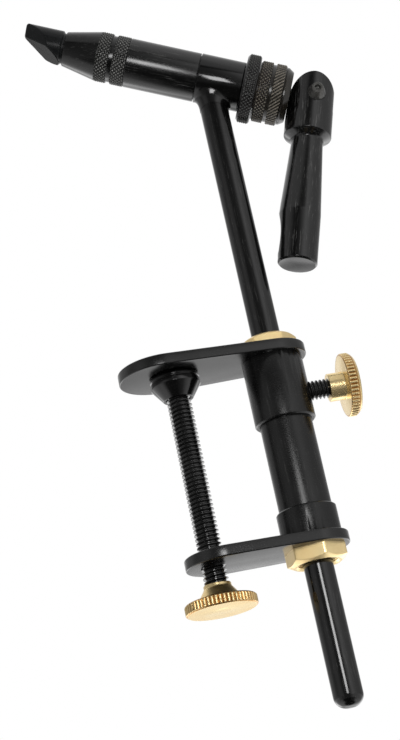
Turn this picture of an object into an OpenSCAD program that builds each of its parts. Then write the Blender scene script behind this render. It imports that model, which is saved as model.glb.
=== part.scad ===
// Fly tying vise with a C-clamp, a sliding stem and a cam-operated collet head.
// Millimetres, +Z up along the stem. The origin is on the stem axis, at the
// underside of the upper plate, which rests on the table when the vise is clamped.
// The jaws and the clamp screw are towards -X, the stem lock is towards +X.

/* [Stem] */
// Diameter of the stem
stem_d = 9.525; // [9.2:0.025:10]
// How far the stem reaches below the upper plate
stem_drop = 114.3; // [95:0.5:130]
// Height of the head axis above the upper plate, on the stem axis
head_height = 105.7; // [98:0.5:125]
// Rise of the head towards the jaws, in degrees
head_tilt = 22.9; // [15:0.5:30]
// Rounding of the stem's lower end
stem_end_round = 3.9; // [1:0.1:4.5]

/* [Clamp frame] */
// Thickness of both clamp plates
plate_t = 3.6; // [3:0.1:4.5]
// Distance between the facing sides of the two plates
clamp_throat = 60.4; // [50:0.5:70]
// Distance from the stem axis to the clamp screw axis
screw_offset = 32.5; // [30:0.5:38]
// End radius of both plates round the stem
plate_root_r = 11.5; // [11:0.1:13]
// End radius of the upper plate, beyond the pad
upper_end_r = 14.2; // [11:0.1:16]
// Distance from the stem axis to the centre of the upper plate's far end
upper_end_x = 36.2; // [32:0.1:40]
// End radius of the lower plate, round the screw
lower_end_r = 12.6; // [11:0.1:14]
// Distance from the stem axis to the centre of the lower plate's far end
lower_end_x = 28.6; // [27:0.1:34]
// Diameter of the column tube
column_d = 17; // [16.4:0.1:18]
// Diameter of the column's threaded ends
column_end_d = 12.7; // [12.2:0.1:13.4]
// Diameter of the upper sleeve
sleeve_d = 19.8; // [19:0.1:22]
// Length of the upper sleeve
sleeve_l = 21.7; // [19:0.1:28]
// Diameter of the lower collar
collar_d = 19.3; // [18.6:0.1:21]
// Length of the lower collar
collar_l = 9.4; // [6:0.1:14]
// Chamfer on the ends of the sleeve and of the lower collar
tube_edge = 0.5; // [0.2:0.05:0.8]

/* [Clamp nuts] */
// Upper nut, size across flats
upper_nut_af = 16.6; // [15.6:0.1:18]
// Upper nut, height
upper_nut_h = 4.1; // [3:0.1:6]
// Lower nut, size across flats
lower_nut_af = 17.3; // [16:0.1:18.6]
// Lower nut, height
lower_nut_h = 4.9; // [4:0.1:6]
// Corner chamfer height of both nuts
nut_chamfer = 1.3; // [0.6:0.1:1.6]

/* [Clamp screw] */
// Diameter of the clamp screw
screw_d = 7.94; // [7:0.02:8.6]
// Diameter of the clamp knob
knob_d = 23; // [20:0.5:28]
// Thickness of the clamp knob's knurled disc
knob_t = 3.4; // [2.6:0.1:6]
// Height of the clamp knob's conical hub
knob_hub_h = 5.1; // [3:0.1:8]
// Diameter of the hub at its small end
knob_hub_d = 8.8; // [8.6:0.1:11]
// Diameter of the hub at the disc
knob_hub_root_d = 14.6; // [11:0.1:18]
// Bare screw between the lower plate and the hub
knob_stand_off = 5.5; // [3:0.1:12]
// Diameter of the clamp pad
pad_d = 16.2; // [14:0.1:20]
// Height of the clamp pad
pad_h = 7.4; // [7:0.1:10]
// Height of the pad's straight rim
pad_rim_h = 3; // [2:0.1:4]
// Diameter of the pad's small end
pad_foot_d = 9.8; // [9.4:0.1:12]
// Gap between the pad and the upper plate with the clamp run up
pad_gap = 0.5; // [0.2:0.1:2]

/* [Stem lock] */
// Diameter of the lock stud
stud_d = 6.35; // [5.6:0.05:7]
// Depth of the lock axis below the upper plate
lock_drop = 12.2; // [9:0.1:13]
// Length of bare stud between the sleeve and the lock knob
lock_stand_off = 6.3; // [4:0.1:12]
// Diameter of the lock knob
lock_knob_d = 20.8; // [17:0.1:24]
// Thickness of the lock knob's knurled disc
lock_knob_t = 4; // [3:0.1:6]
// Diameter of the lock knob's hub
lock_hub_d = 9.2; // [8:0.1:12]
// Length of the lock knob's hub
lock_hub_l = 5.1; // [3:0.1:8]
// Chamfer of the knobs' rims
knob_edge = 0.6; // [0.2:0.1:1]

/* [Barrel] */
// Diameter of the barrel
barrel_d = 16.9; // [16.4:0.1:18]
// Length of the barrel's plain and knurled front, in front of the head collar
barrel_front_l = 29.6; // [26:0.1:36]
// Length of the barrel's knurled band
barrel_band_l = 4.6; // [3:0.1:7]
// Diameter over the knurled bands of the barrel and of the nose cone
band_d = 17.3; // [17:0.1:18.4]
// Diameter of the barrel's threaded tail
tail_d = 12.5; // [12:0.1:13]
// Bore of the barrel
barrel_bore_d = 9; // [8.8:0.1:9.6]
// Diameter of the head collar
head_collar_d = 17.15; // [16.6:0.05:18.4]
// Distance from the stem axis to the head collar's front face, along the head
collar_front = 3.35; // [2.5:0.05:5]
// Length of the head collar
head_collar_l = 15.55; // [14.5:0.05:18]
// Length of the stem's seat in the flare under the head collar
socket_l = 4.6; // [3:0.1:6]
// Width of the brazed flare over the stem, where it meets the collar
flare_w = 2.2; // [1:0.1:3]

/* [Nose cone] */
// Length of the nose cone
cone_l = 17.6; // [16:0.1:22]
// Length of the nose cone's knurled band
cone_band_l = 4.2; // [3:0.1:6]
// Length of the narrow step at the rear of the nose cone
cone_step_l = 1.4; // [0.8:0.1:2]
// Depth of that step
cone_step = 0.65; // [0.3:0.05:0.9]
// Outer diameter at the mouth
cone_mouth_d = 11.9; // [11.6:0.1:13]
// Bore at the mouth
cone_mouth_bore_d = 10.4; // [10.2:0.1:10.8]
// Half angle of the closing taper inside the mouth, in degrees
cone_taper = 11; // [8:0.5:14]

/* [Rear collars] */
// Diameter of the lock ring
ring_d = 24; // [22:0.1:27]
// Width of the lock ring
ring_w = 4.8; // [4:0.1:7]
// Diameter of the adjusting collar
adjuster_d = 21.3; // [19:0.1:23]
// Width of each knurled land of the adjusting collar
adjuster_land_w = 3.8; // [2.4:0.1:4]
// Width of the groove between the lands
adjuster_groove_w = 1.2; // [1:0.1:3]
// Depth of the groove between the lands
adjuster_groove = 0.7; // [0.3:0.1:1.2]
// Gap between the lock ring and the adjusting collar
adjuster_gap = 0.5; // [0.4:0.1:1]
// Large diameter of the thrust washer
washer_d = 19.8; // [17:0.1:22]
// Small diameter of the thrust washer, at the cam
washer_face_d = 17.4; // [15:0.1:19]
// Thickness of the thrust washer
washer_t = 2.4; // [1.8:0.1:3]
// Edge chamfer of the rings and collars of the head
ring_edge = 0.8; // [0.3:0.1:1]

/* [Jaws] */
// Reach of the jaws beyond the nose cone
jaw_reach = 14.4; // [11:0.1:18]
// Diameter of the jaws' round root
jaw_d = 11.9; // [11.4:0.1:12.4]
// Thickness of one jaw at the nose, half-way up it
jaw_nose_t = 2.3; // [2:0.1:3]
// Height of the nose's lower corner above the head axis
jaw_nose_low = 1.3; // [0.8:0.1:2]
// Depth of the jaws' belly below the head axis
jaw_belly = 5; // [4:0.1:5.6]
// Distance from the nose back to the end of the slanted underside
jaw_slant_l = 12; // [8:0.1:12.4]
// Diameter of the jaws' shank
shank_d = 8.4; // [8:0.1:8.6]
// Gap between the closed jaws
jaw_gap = 0.08; // [0.04:0.01:0.3]
// Gap between the nose cone and the shoulder of the jaws
shoulder_gap = 0.7; // [0.4:0.1:1.2]

/* [Cam lever] */
// Diameter of the lever's round head
lever_d = 16.4; // [14.5:0.1:17]
// Lean of the lever away from the square to the head, in degrees
lever_lean = 6.4; // [0:0.1:9]
// Distance from the pivot to the head's shoulder, along the lever
lever_shoulder = 13.6; // [11:0.1:16]
// Height of the bevel under the shoulder
shoulder_h = 1.7; // [1:0.1:3]
// Diameter of the handle under the shoulder
neck_d = 10.8; // [9:0.1:12]
// Diameter of the handle at its thickest
grip_d = 13.6; // [12.6:0.1:14.5]
// Distance from the pivot to the thickest place of the handle
grip_at = 43.5; // [40:0.5:52]
// Diameter of the handle at its lower end
lever_end_d = 13.2; // [11.5:0.1:13.8]
// Length from the pivot to the lower end
lever_l = 62.3; // [56:0.5:70]
// Chamfer of the handle's lower end
lever_end_edge = 0.7; // [0.3:0.1:1.2]
// Depth of the finger recess
recess_depth = 1.2; // [0.5:0.1:2]
// Length of the finger recess
recess_l = 15; // [10:0.5:17]
// Height of the finger recess's lower edge above the lower end
recess_low = 2.5; // [2:0.1:6]
// Distance the jaws are drawn back by the cam
draw_travel = 0.87; // [0.5:0.01:1.2]
// Distance from the pivot to the thrust washer with the lever down
cam_reach = 8.75; // [8.4:0.05:9.5]
// Distance the pivot lies behind the lever's own axis
pivot_back = 1.2; // [1:0.1:2.2]

/* [Draw rod and pin] */
// Diameter of the draw rod
rod_d = 6.4; // [6:0.1:6.8]
// Thickness of the rod's flat end in the lever
rod_flat_t = 4.4; // [3.6:0.1:5]
// Diameter of the rod's waist in the jaws
waist_d = 3.8; // [3:0.1:4.4]
// Diameter of the lever pin
pin_d = 3; // [2.5:0.1:3.4]
// Diameter of the pin's conical end at its base
pin_head_d = 6.3; // [5:0.1:7]
// Diameter of the pin's conical end at its tip
pin_tip_d = 3.9; // [3:0.1:4.5]
// How far the pin's conical end stands out
pin_proud = 3; // [2:0.1:5]
// Diameter of the centre hole in the pin's end
pin_hole_d = 2.3; // [1.5:0.1:2.6]
// Depth of the centre hole
pin_hole_depth = 1.2; // [0.6:0.1:2]
// Wire diameter of the return spring
wire_d = 0.8; // [0.6:0.05:0.9]
// Turns of the return spring
spring_turns = 9; // [5:1:14]

/* [Hidden] */

$fn = 96;
// running clearance of a shaft in its bore, on the radius
fit = 0.05;
// clearance between two faces that meet
face_gap = 0.05;
// overrun of a cut past the solid that it cuts
over = 1;

// Clamp frame
lower_plate_top = -clamp_throat;
lower_plate_bottom = lower_plate_top - plate_t;
stem_bore_d = stem_d + 2 * fit;
column_hole_d = column_d + 2 * fit;
end_hole_d = column_end_d + 2 * fit;
// how far the column's ends stop inside the nuts
upper_end_short = 0.8;
lower_end_short = 1.7;
column_top = plate_t + upper_nut_h - upper_end_short;
column_bottom = lower_plate_bottom - lower_nut_h + lower_end_short;
column_end_edge = 0.4;
// angle of one corner of each nut, from +X
upper_nut_turn = -9;
lower_nut_turn = 39;

// Clamp screw, from the pad down to the knob
pad_top = -pad_gap;
pad_bottom = pad_top - pad_h;
// the pad's flat web, which the screw's nose passes through, and the well above it
pad_web_t = 2;
pad_well_depth = 1.9;
pad_well_d = 10;
pad_edge = 0.4;
pad_web_top = pad_top - pad_well_depth;
pad_web_bottom = pad_web_top - pad_web_t;
nose_d = 5.2;
nose_drop = 0.4;
screw_tip_edge = 0.5;
pad_ring_d = 8.2;
pad_ring_t = 0.7;
ring_seat_depth = 0.5;
ring_seat_d = nose_d - 2 * ring_seat_depth;
ring_seat_low = pad_web_top + face_gap;
ring_seat_high = ring_seat_low + pad_ring_t;
knob_top = lower_plate_bottom - knob_stand_off;
knob_disc_top = knob_top - knob_hub_h;
knob_bottom = knob_disc_top - knob_t;

// Stem lock, measured along its own axis from the stem axis
hub_start = sleeve_d / 2 + lock_stand_off;
disc_start = hub_start + lock_hub_l;
lock_knob_end = disc_start + lock_knob_t;
stud_tip = stem_d / 2 + face_gap;
stud_end = disc_start + lock_knob_t / 2;

// Head, measured along its axis from the stem axis, the jaws' side positive
collar_rear = collar_front - head_collar_l;
barrel_start = collar_front + face_gap;
barrel_front = collar_front + barrel_front_l;
barrel_edge = 0.4;
tail_bore_d = tail_d + 2 * fit;
rod_bore_d = rod_d + 2 * fit;
ring_front = collar_rear - 2 * face_gap;
ring_rear = ring_front - ring_w;
adjuster_w = 2 * adjuster_land_w + adjuster_groove_w;
adjuster_front = ring_rear - adjuster_gap;
adjuster_rear = adjuster_front - adjuster_w;
// how far the tail's end stops inside the adjusting collar
tail_short = 0.9;
tail_rear = adjuster_rear + tail_short;
washer_front = adjuster_rear - face_gap;
washer_rear = washer_front - washer_t;
washer_rim_t = 0.6;

// Brazed flare between the stem and the head collar
flare_lip = 0.15;
flare_low_r = stem_d / 2 + flare_lip;
flare_thin = 0.3;
socket_wall = 0.9;
stem_top = head_height - stem_d / 2 * tan(head_tilt) - (tail_bore_d / 2 + socket_wall) / cos(head_tilt);
flare_low = stem_top - socket_l;
flare_sink = 0.6;
flare_high = head_height - (head_collar_d / 2 - flare_sink) / cos(head_tilt);

// Nose cone
spigot_d = 13.8;
spigot_hole_d = spigot_d + 2 * fit;
cone_rear = barrel_front + face_gap;
cone_front = barrel_front + cone_l;
cone_band_rear = barrel_front + cone_step_l;
cone_band_front = cone_band_rear + cone_band_l;
cone_mouth_edge = 0.25;
spigot_front = cone_band_front - face_gap;
bore_step = (cone_mouth_bore_d - barrel_bore_d) / 2;
taper_start = cone_front - bore_step / tan(cone_taper);

// Draw rod, return spring and jaws
rod_guide_l = 5;
spring_l = 22;
flange_w = 1.8;
rod_neck_l = 11;
waist_l = 2.5;
button_l = 2;
grip_play = 0.1;
spring_rear = tail_rear + rod_guide_l;
flange_rear = spring_rear + spring_l;
flange_front = flange_rear + flange_w;
flange_d = barrel_bore_d - 4 * fit;
waist_rear = flange_front + rod_neck_l;
jaw_rear = waist_rear + grip_play;
waist_front = waist_rear + waist_l;
rod_front = waist_front + button_l;
spring_mid_d = (rod_d + barrel_bore_d) / 2;
taper_gap = 0.04;
jaw_shoulder = cone_front + shoulder_gap;
jaw_nose = cone_front + jaw_reach;
jaw_mouth_r = cone_mouth_bore_d / 2 - taper_gap;
jaw_shoulder_r = jaw_mouth_r + shoulder_gap * tan(cone_taper);
jaw_taper_start = cone_front - (jaw_mouth_r - shank_d / 2) / tan(cone_taper);
// slope and tilt of the cheeks that thin the jaws towards the nose, in degrees
cheek_slope = 36;
cheek_tilt = -34.5;

// Cam lever, in its own frame: pivot at the origin, +X towards the washer, +Z up along the lever
lever_range = 100;
pivot_s = washer_rear - cam_reach;
// the cam circle's centre lies this far below the line from the pivot to the washer
cam_phase = 90 - lever_range / 2;
cam_throw = draw_travel / (2 * cos(cam_phase));
cam_r = cam_reach - face_gap - cam_throw * cos(cam_phase);
lever_flat = cam_reach - 2 * face_gap;
cheek_gap = 0.05;
slot_w = rod_flat_t + 2 * cheek_gap;
slot_play = 0.7;
slot_floor = rod_d / 2 + slot_play;
pin_seat = 6.3;
pin_far_end = 7.1;
lever_surface = sqrt(pow(lever_d / 2, 2) - pow(pivot_back, 2));
pin_tip = lever_surface + pin_proud;
recess_chord = recess_l / 2;
recess_r = (pow(recess_chord, 2) + pow(recess_depth, 2)) / (2 * recess_depth);
recess_mid = -lever_l + recess_low + recess_chord;

// Places children whose +Z runs along the head towards the jaws and whose +X is the head's upper side
module at_head(s = 0) {
    translate([0, 0, head_height]) rotate([0, head_tilt - 90, 0]) translate([0, 0, s]) children();
}

// Places children in the lever's own frame
module at_lever() {
    at_head(pivot_s) rotate([0, 90 - lever_lean, 0]) rotate([0, 0, 180]) children();
}

// Places children on the clamp screw's axis
module at_screw() {
    translate([-screw_offset, 0, 0]) children();
}

// Places children whose +Z runs out along the stem lock's axis
module at_lock() {
    translate([0, 0, -lock_drop]) rotate([0, 90, 0]) children();
}

// Round bar from a to b, with a chamfer at each end
module bar(d, a, b, edge_a = 0, edge_b = 0) {
    rotate_extrude() polygon([[0, a], [d / 2 - edge_a, a], [d / 2, a + edge_a], [d / 2, b - edge_b],
        [d / 2 - edge_b, b], [0, b]]);
}

// Round hole from a to b, carried a little past both ends
module hole(d, a, b) {
    translate([0, 0, a - over]) cylinder(d = d, h = b - a + 2 * over);
}

// Round blind hole from a to b, carried past end a only
module blind_hole(d, a, b) {
    translate([0, 0, a - over]) cylinder(d = d, h = b - a + over);
}

// Clamp plate with two round ends joined by tangent sides, bored for the column's end
module clamp_plate(end_x, end_r) {
    lean = asin((end_r - plate_root_r) / end_x);
    root_x = plate_root_r * sin(lean);
    root_y = plate_root_r * cos(lean);
    far_x = end_r * sin(lean) - end_x;
    far_y = end_r * cos(lean);
    linear_extrude(height = plate_t) union() {
        circle(r = plate_root_r);
        translate([-end_x, 0]) circle(r = end_r);
        polygon([[root_x, root_y], [far_x, far_y], [far_x, -far_y], [root_x, -root_y]]);
    }
}

// Hexagonal nut from 0 to h with chamfered corners on its upper end and a threaded bore
module hex_nut(af, h, turn) {
    corner_r = af / 2 / cos(30);
    wide_r = corner_r + over;
    difference() {
        intersection() {
            rotate([0, 0, turn]) cylinder(r = corner_r, h = h, $fn = 6);
            rotate_extrude() polygon([[0, 0], [wide_r, 0], [wide_r, h - nut_chamfer - over / tan(60)],
                [corner_r - nut_chamfer * tan(60), h], [0, h]]);
        }
        hole(end_hole_d, 0, h);
    }
}

module upper_plate() {
    color("#26282a") difference() {
        clamp_plate(upper_end_x, upper_end_r);
        hole(end_hole_d, 0, plate_t);
    }
}

module lower_plate() {
    color("#26282a") translate([0, 0, lower_plate_bottom]) difference() {
        clamp_plate(lower_end_x, lower_end_r);
        hole(end_hole_d, 0, plate_t);
        at_screw() hole(screw_d + 2 * fit, 0, plate_t);
    }
}

module column_tube() {
    color("#2e3133") difference() {
        union() {
            bar(column_d, lower_plate_top, 0);
            bar(column_end_d, column_bottom, 0, column_end_edge);
            bar(column_end_d, lower_plate_top, column_top, 0, column_end_edge);
        }
        hole(stem_bore_d, column_bottom, column_top);
        at_lock() hole(stud_d + 2 * fit, 0, column_d / 2);
    }
}

module upper_sleeve() {
    color("#26282a") difference() {
        bar(sleeve_d, -sleeve_l, 0, tube_edge);
        hole(column_hole_d, -sleeve_l, 0);
        at_lock() hole(stud_d + 2 * fit, 0, sleeve_d / 2);
    }
}

module lower_collar() {
    color("#26282a") translate([0, 0, lower_plate_top]) difference() {
        bar(collar_d, 0, collar_l, 0, tube_edge);
        hole(column_hole_d, 0, collar_l);
    }
}

module upper_nut() {
    color("#d8bd7e") translate([0, 0, plate_t]) hex_nut(upper_nut_af, upper_nut_h, upper_nut_turn);
}

module lower_nut() {
    color("#d8bd7e") translate([0, 0, lower_plate_bottom]) mirror([0, 0, 1])
        hex_nut(lower_nut_af, lower_nut_h, lower_nut_turn);
}

module clamp_screw() {
    color("#1c1d1f") at_screw() difference() {
        union() {
            bar(screw_d, knob_disc_top, pad_web_bottom - face_gap, 0, screw_tip_edge);
            bar(nose_d, knob_disc_top, pad_top - nose_drop, 0, screw_tip_edge);
        }
        difference() {
            translate([0, 0, ring_seat_low]) cylinder(d = screw_d, h = pad_ring_t);
            hole(ring_seat_d, ring_seat_low, ring_seat_high);
        }
    }
}

module clamp_knob() {
    color("#d8bd7e") at_screw() difference() {
        union() {
            bar(knob_d, knob_bottom, knob_disc_top, knob_edge, knob_edge);
            translate([0, 0, knob_disc_top])
                cylinder(d1 = knob_hub_root_d, d2 = knob_hub_d, h = knob_hub_h);
        }
        translate([0, 0, knob_disc_top]) cylinder(d = screw_d, h = knob_hub_h + over);
    }
}

module clamp_pad() {
    rim_bottom = pad_top - pad_rim_h;
    color("#303234") at_screw() difference() {
        union() {
            bar(pad_d, rim_bottom, pad_top, 0, pad_edge);
            translate([0, 0, pad_bottom]) cylinder(d1 = pad_foot_d, d2 = pad_d, h = rim_bottom - pad_bottom);
        }
        blind_hole(screw_d + 2 * fit, pad_bottom, pad_web_bottom);
        hole(nose_d + 2 * fit, pad_web_bottom, pad_web_top);
        translate([0, 0, pad_web_top]) cylinder(d = pad_well_d, h = pad_well_depth + over);
    }
}

module pad_ring() {
    color("#8a8d90") at_screw() translate([0, 0, ring_seat_low]) difference() {
        cylinder(d = pad_ring_d, h = pad_ring_t);
        hole(ring_seat_d, 0, pad_ring_t);
    }
}

module lock_stud() {
    color("#1c1d1f") at_lock() bar(stud_d, stud_tip, stud_end, screw_tip_edge);
}

module lock_knob() {
    color("#d8bd7e") at_lock() difference() {
        union() {
            bar(lock_hub_d, hub_start, disc_start + knob_edge);
            bar(lock_knob_d, disc_start, lock_knob_end, knob_edge, knob_edge);
        }
        blind_hole(stud_d, hub_start, stud_end);
    }
}

module stem() {
    round_z = stem_end_round - stem_drop;
    flat_r = stem_d / 2 - stem_end_round;
    color("#3a3d40") union() {
        bar(stem_d, round_z, stem_top);
        bar(2 * flat_r, -stem_drop, round_z);
        rotate_extrude() intersection() {
            translate([flat_r, round_z]) circle(r = stem_end_round);
            translate([0, -stem_drop]) square([stem_d / 2, stem_end_round]);
        }
    }
}

// Thin disc on the stem's axis, one of the sections of the brazed flare
module flare_disc(z, r, lean) {
    translate([0, 0, z]) rotate([0, lean, 0]) cylinder(r = r, h = flare_thin, $fn = 48);
}

module head_collar() {
    mid_z = (flare_low + flare_high) / 2;
    mid_r = stem_d / 2 + flare_w / 3;
    color("#2e3133") difference() {
        union() {
            at_head() bar(head_collar_d, collar_rear, collar_front, barrel_edge, barrel_edge / 2);
            hull() {
                flare_disc(flare_low, flare_low_r, 0);
                flare_disc(mid_z, mid_r, head_tilt / 2);
            }
            hull() {
                flare_disc(mid_z, mid_r, head_tilt / 2);
                flare_disc(flare_high, stem_d / 2 + flare_w, head_tilt);
            }
        }
        at_head() hole(tail_bore_d, collar_rear, collar_front);
        at_head() translate([0, 0, collar_front]) cylinder(d = 2 * head_collar_d, h = head_collar_d);
        blind_hole(stem_d, flare_low, stem_top);
    }
}

module barrel() {
    color("#303336") at_head() difference() {
        union() {
            bar(barrel_d, barrel_start, barrel_front, barrel_edge / 2);
            bar(band_d, barrel_front - barrel_band_l, barrel_front, barrel_edge, barrel_edge);
            bar(tail_d, tail_rear, barrel_front, barrel_edge);
            bar(spigot_d, barrel_start, spigot_front, 0, barrel_edge);
        }
        hole(rod_bore_d, tail_rear, spring_rear);
        translate([0, 0, spring_rear]) cylinder(d = barrel_bore_d, h = spigot_front - spring_rear + over);
    }
}

module nose_cone() {
    step_d = band_d - 2 * cone_step;
    color("#303336") at_head() difference() {
        union() {
            bar(step_d, cone_rear, cone_band_rear);
            bar(band_d, cone_band_rear, cone_band_front, barrel_edge);
            rotate_extrude() polygon([[0, cone_band_front], [band_d / 2, cone_band_front],
                [cone_mouth_d / 2, cone_front - cone_mouth_edge],
                [cone_mouth_d / 2 - cone_mouth_edge, cone_front], [0, cone_front]]);
        }
        blind_hole(spigot_hole_d, cone_rear, cone_band_front);
        hole(barrel_bore_d, cone_band_front, cone_front);
        rotate_extrude() polygon([[0, taper_start], [barrel_bore_d / 2, taper_start],
            [cone_mouth_bore_d / 2, cone_front], [cone_mouth_bore_d / 2, cone_front + over],
            [0, cone_front + over]]);
    }
}

module lock_ring() {
    color("#2c2f31") at_head() difference() {
        bar(ring_d, ring_rear, ring_front, ring_edge, ring_edge);
        hole(tail_bore_d, ring_rear, ring_front);
    }
}

module adjusting_collar() {
    groove_d = adjuster_d - 2 * adjuster_groove;
    color("#3b3733") at_head() difference() {
        union() {
            bar(adjuster_d, adjuster_rear, adjuster_rear + adjuster_land_w, ring_edge, ring_edge / 2);
            bar(adjuster_d, adjuster_front - adjuster_land_w, adjuster_front, ring_edge / 2, ring_edge);
            bar(groove_d, adjuster_rear, adjuster_front, ring_edge, ring_edge);
        }
        hole(tail_bore_d, adjuster_rear, adjuster_front);
    }
}

module thrust_washer() {
    color("#47494b") at_head() difference() {
        rotate_extrude() polygon([[0, washer_rear], [washer_face_d / 2, washer_rear],
            [washer_d / 2, washer_front - washer_rim_t], [washer_d / 2, washer_front], [0, washer_front]]);
        hole(rod_bore_d, washer_rear, washer_front);
    }
}

module draw_rod() {
    flat_front = washer_rear + face_gap;
    color("#6a6d70") at_head() difference() {
        union() {
            bar(rod_d, flat_front, flange_rear);
            intersection() {
                bar(rod_d, pivot_s - rod_d / 2, flat_front + over);
                translate([-rod_d, -rod_flat_t / 2, pivot_s - rod_d])
                    cube([2 * rod_d, rod_flat_t, flat_front - pivot_s + rod_d + over]);
                union() {
                    translate([0, 0, pivot_s]) rotate([90, 0, 0])
                        cylinder(d = rod_d, h = 2 * rod_d, center = true);
                    translate([-rod_d, -rod_d, pivot_s]) cube([2 * rod_d, 2 * rod_d, cam_reach + over]);
                }
            }
            bar(flange_d, flange_rear, flange_front);
            bar(rod_d, flange_front, waist_rear);
            bar(waist_d, waist_rear, waist_front);
            bar(rod_d, waist_front, rod_front);
        }
        translate([0, 0, pivot_s]) rotate([90, 0, 0])
            cylinder(d = pin_d + 2 * fit, h = 2 * rod_d, center = true);
    }
}

// Compression spring of round wire, one helical tube swept along its own turns
module return_spring() {
    sides = 8;
    steps_per_turn = 20;
    steps = spring_turns * steps_per_turn;
    mid_r = spring_mid_d / 2;
    low = spring_rear + face_gap + wire_d / 2;
    rise = spring_l - 2 * face_gap - wire_d;
    points = [for (i = [0:steps]) let (a = 360 * i / steps_per_turn, z = low + rise * i / steps)
        for (j = [0:sides - 1]) let (b = 360 * j / sides, r = mid_r + wire_d / 2 * cos(b))
        [r * cos(a), r * sin(a), z + wire_d / 2 * sin(b)]];
    walls = [for (i = [0:steps - 1]) for (j = [0:sides - 1])
        let (k = i * sides, next = (j + 1) % sides)
        each [[k + j, k + next, k + sides + next], [k + j, k + sides + next, k + sides + j]]];
    last = steps * sides;
    caps = [[for (j = [sides - 1:-1:0]) j], [for (j = [0:sides - 1]) last + j]];
    color("#9a9da0") at_head() polyhedron(points = points, faces = concat(walls, caps));
}

// The near jaw, with its split face on the head's middle plane
module jaw() {
    reach = jaw_nose - jaw_shoulder + over;
    nose_mid = (jaw_d / 2 + jaw_nose_low) / 2;
    difference() {
        intersection() {
            union() {
                rotate_extrude() polygon([[0, jaw_rear], [shank_d / 2, jaw_rear],
                    [shank_d / 2, jaw_taper_start], [jaw_shoulder_r, jaw_shoulder], [0, jaw_shoulder]]);
                intersection() {
                    bar(jaw_d, jaw_shoulder, jaw_nose);
                    rotate([90, 0, 0]) linear_extrude(height = 2 * jaw_d, center = true)
                        polygon([[jaw_d, jaw_shoulder - over], [jaw_d, jaw_nose + over],
                            [jaw_nose_low, jaw_nose + over], [jaw_nose_low, jaw_nose],
                            [-jaw_belly, jaw_nose - jaw_slant_l], [-jaw_d / 2, jaw_shoulder],
                            [-jaw_d / 2, jaw_shoulder - over]]);
                    translate([nose_mid, -jaw_nose_t, jaw_nose]) rotate([0, 0, cheek_tilt])
                        rotate([-cheek_slope, 0, 0]) translate([-2 * jaw_d, 0, -4 * reach])
                        cube([4 * jaw_d, 2 * jaw_d, 8 * reach]);
                }
            }
            translate([-jaw_d, -jaw_d - jaw_gap / 2, jaw_rear - over])
                cube([2 * jaw_d, jaw_d, jaw_nose - jaw_rear + 2 * over]);
        }
        hole(waist_d + 2 * grip_play, jaw_rear, waist_front - grip_play);
        translate([0, 0, waist_front - grip_play])
            cylinder(d = rod_d + 2 * grip_play, h = button_l + 2 * grip_play);
    }
}

module jaw_near() {
    color("#54575a") at_head() jaw();
}

module jaw_far() {
    color("#54575a") at_head() mirror([0, 1, 0]) jaw();
}

// The space that the lever's head may fill: the cam circle, and the flat front below the pivot
module cam_envelope() {
    big = 2 * lever_l;
    rotate([0, -lever_lean, 0]) {
        translate([cam_throw * cos(cam_phase), 0, -cam_throw * sin(cam_phase)]) rotate([90, 0, 0])
            cylinder(r = cam_r, h = 2 * lever_d, center = true);
        translate([lever_flat - big, -lever_d, -big]) cube([big, 2 * lever_d, big]);
    }
}

module cam_lever() {
    color("#303336") at_lever() difference() {
        intersection() {
            translate([pivot_back, 0, 0]) rotate_extrude() polygon([[0, -lever_l],
                [lever_end_d / 2 - lever_end_edge, -lever_l], [lever_end_d / 2, -lever_l + lever_end_edge],
                [grip_d / 2, -grip_at], [neck_d / 2, -lever_shoulder - shoulder_h],
                [lever_d / 2, -lever_shoulder], [lever_d / 2, lever_d], [0, lever_d]]);
            cam_envelope();
        }
        translate([-lever_d, -slot_w / 2, -slot_floor]) cube([3 * lever_d, slot_w, 2 * lever_d]);
        rotate([90, 0, 0]) cylinder(d = pin_d, h = 2 * lever_d, center = true);
        rotate([-90, 0, 0]) translate([0, 0, pin_seat]) cylinder(d = pin_head_d + 2 * fit, h = lever_d);
        translate([pivot_back + lever_end_d / 2 + recess_r - recess_depth, 0, recess_mid])
            rotate([90, 0, 0]) cylinder(r = recess_r, h = 2 * lever_d, center = true);
    }
}

module lever_pin() {
    color("#7d7b76") at_lever() rotate([-90, 0, 0]) difference() {
        union() {
            bar(pin_d, -pin_far_end, pin_seat);
            bar(pin_head_d, pin_seat, lever_surface);
            translate([0, 0, lever_surface]) cylinder(d1 = pin_head_d, d2 = pin_tip_d, h = pin_proud);
        }
        translate([0, 0, pin_tip - pin_hole_depth]) cylinder(d = pin_hole_d, h = pin_hole_depth + over);
    }
}

upper_plate();
lower_plate();
column_tube();
upper_sleeve();
lower_collar();
upper_nut();
lower_nut();
clamp_screw();
clamp_knob();
clamp_pad();
pad_ring();
lock_stud();
lock_knob();
stem();
head_collar();
barrel();
nose_cone();
lock_ring();
adjusting_collar();
thrust_washer();
draw_rod();
return_spring();
jaw_near();
jaw_far();
cam_lever();
lever_pin();
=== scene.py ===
"""Fly tying vise: turned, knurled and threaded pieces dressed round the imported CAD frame.
Lengths are in millimetres in each piece's own frame and become metres when the mesh is made."""

import math

import bmesh
import bpy
import numpy as np
from mathutils import Matrix, Vector


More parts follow.
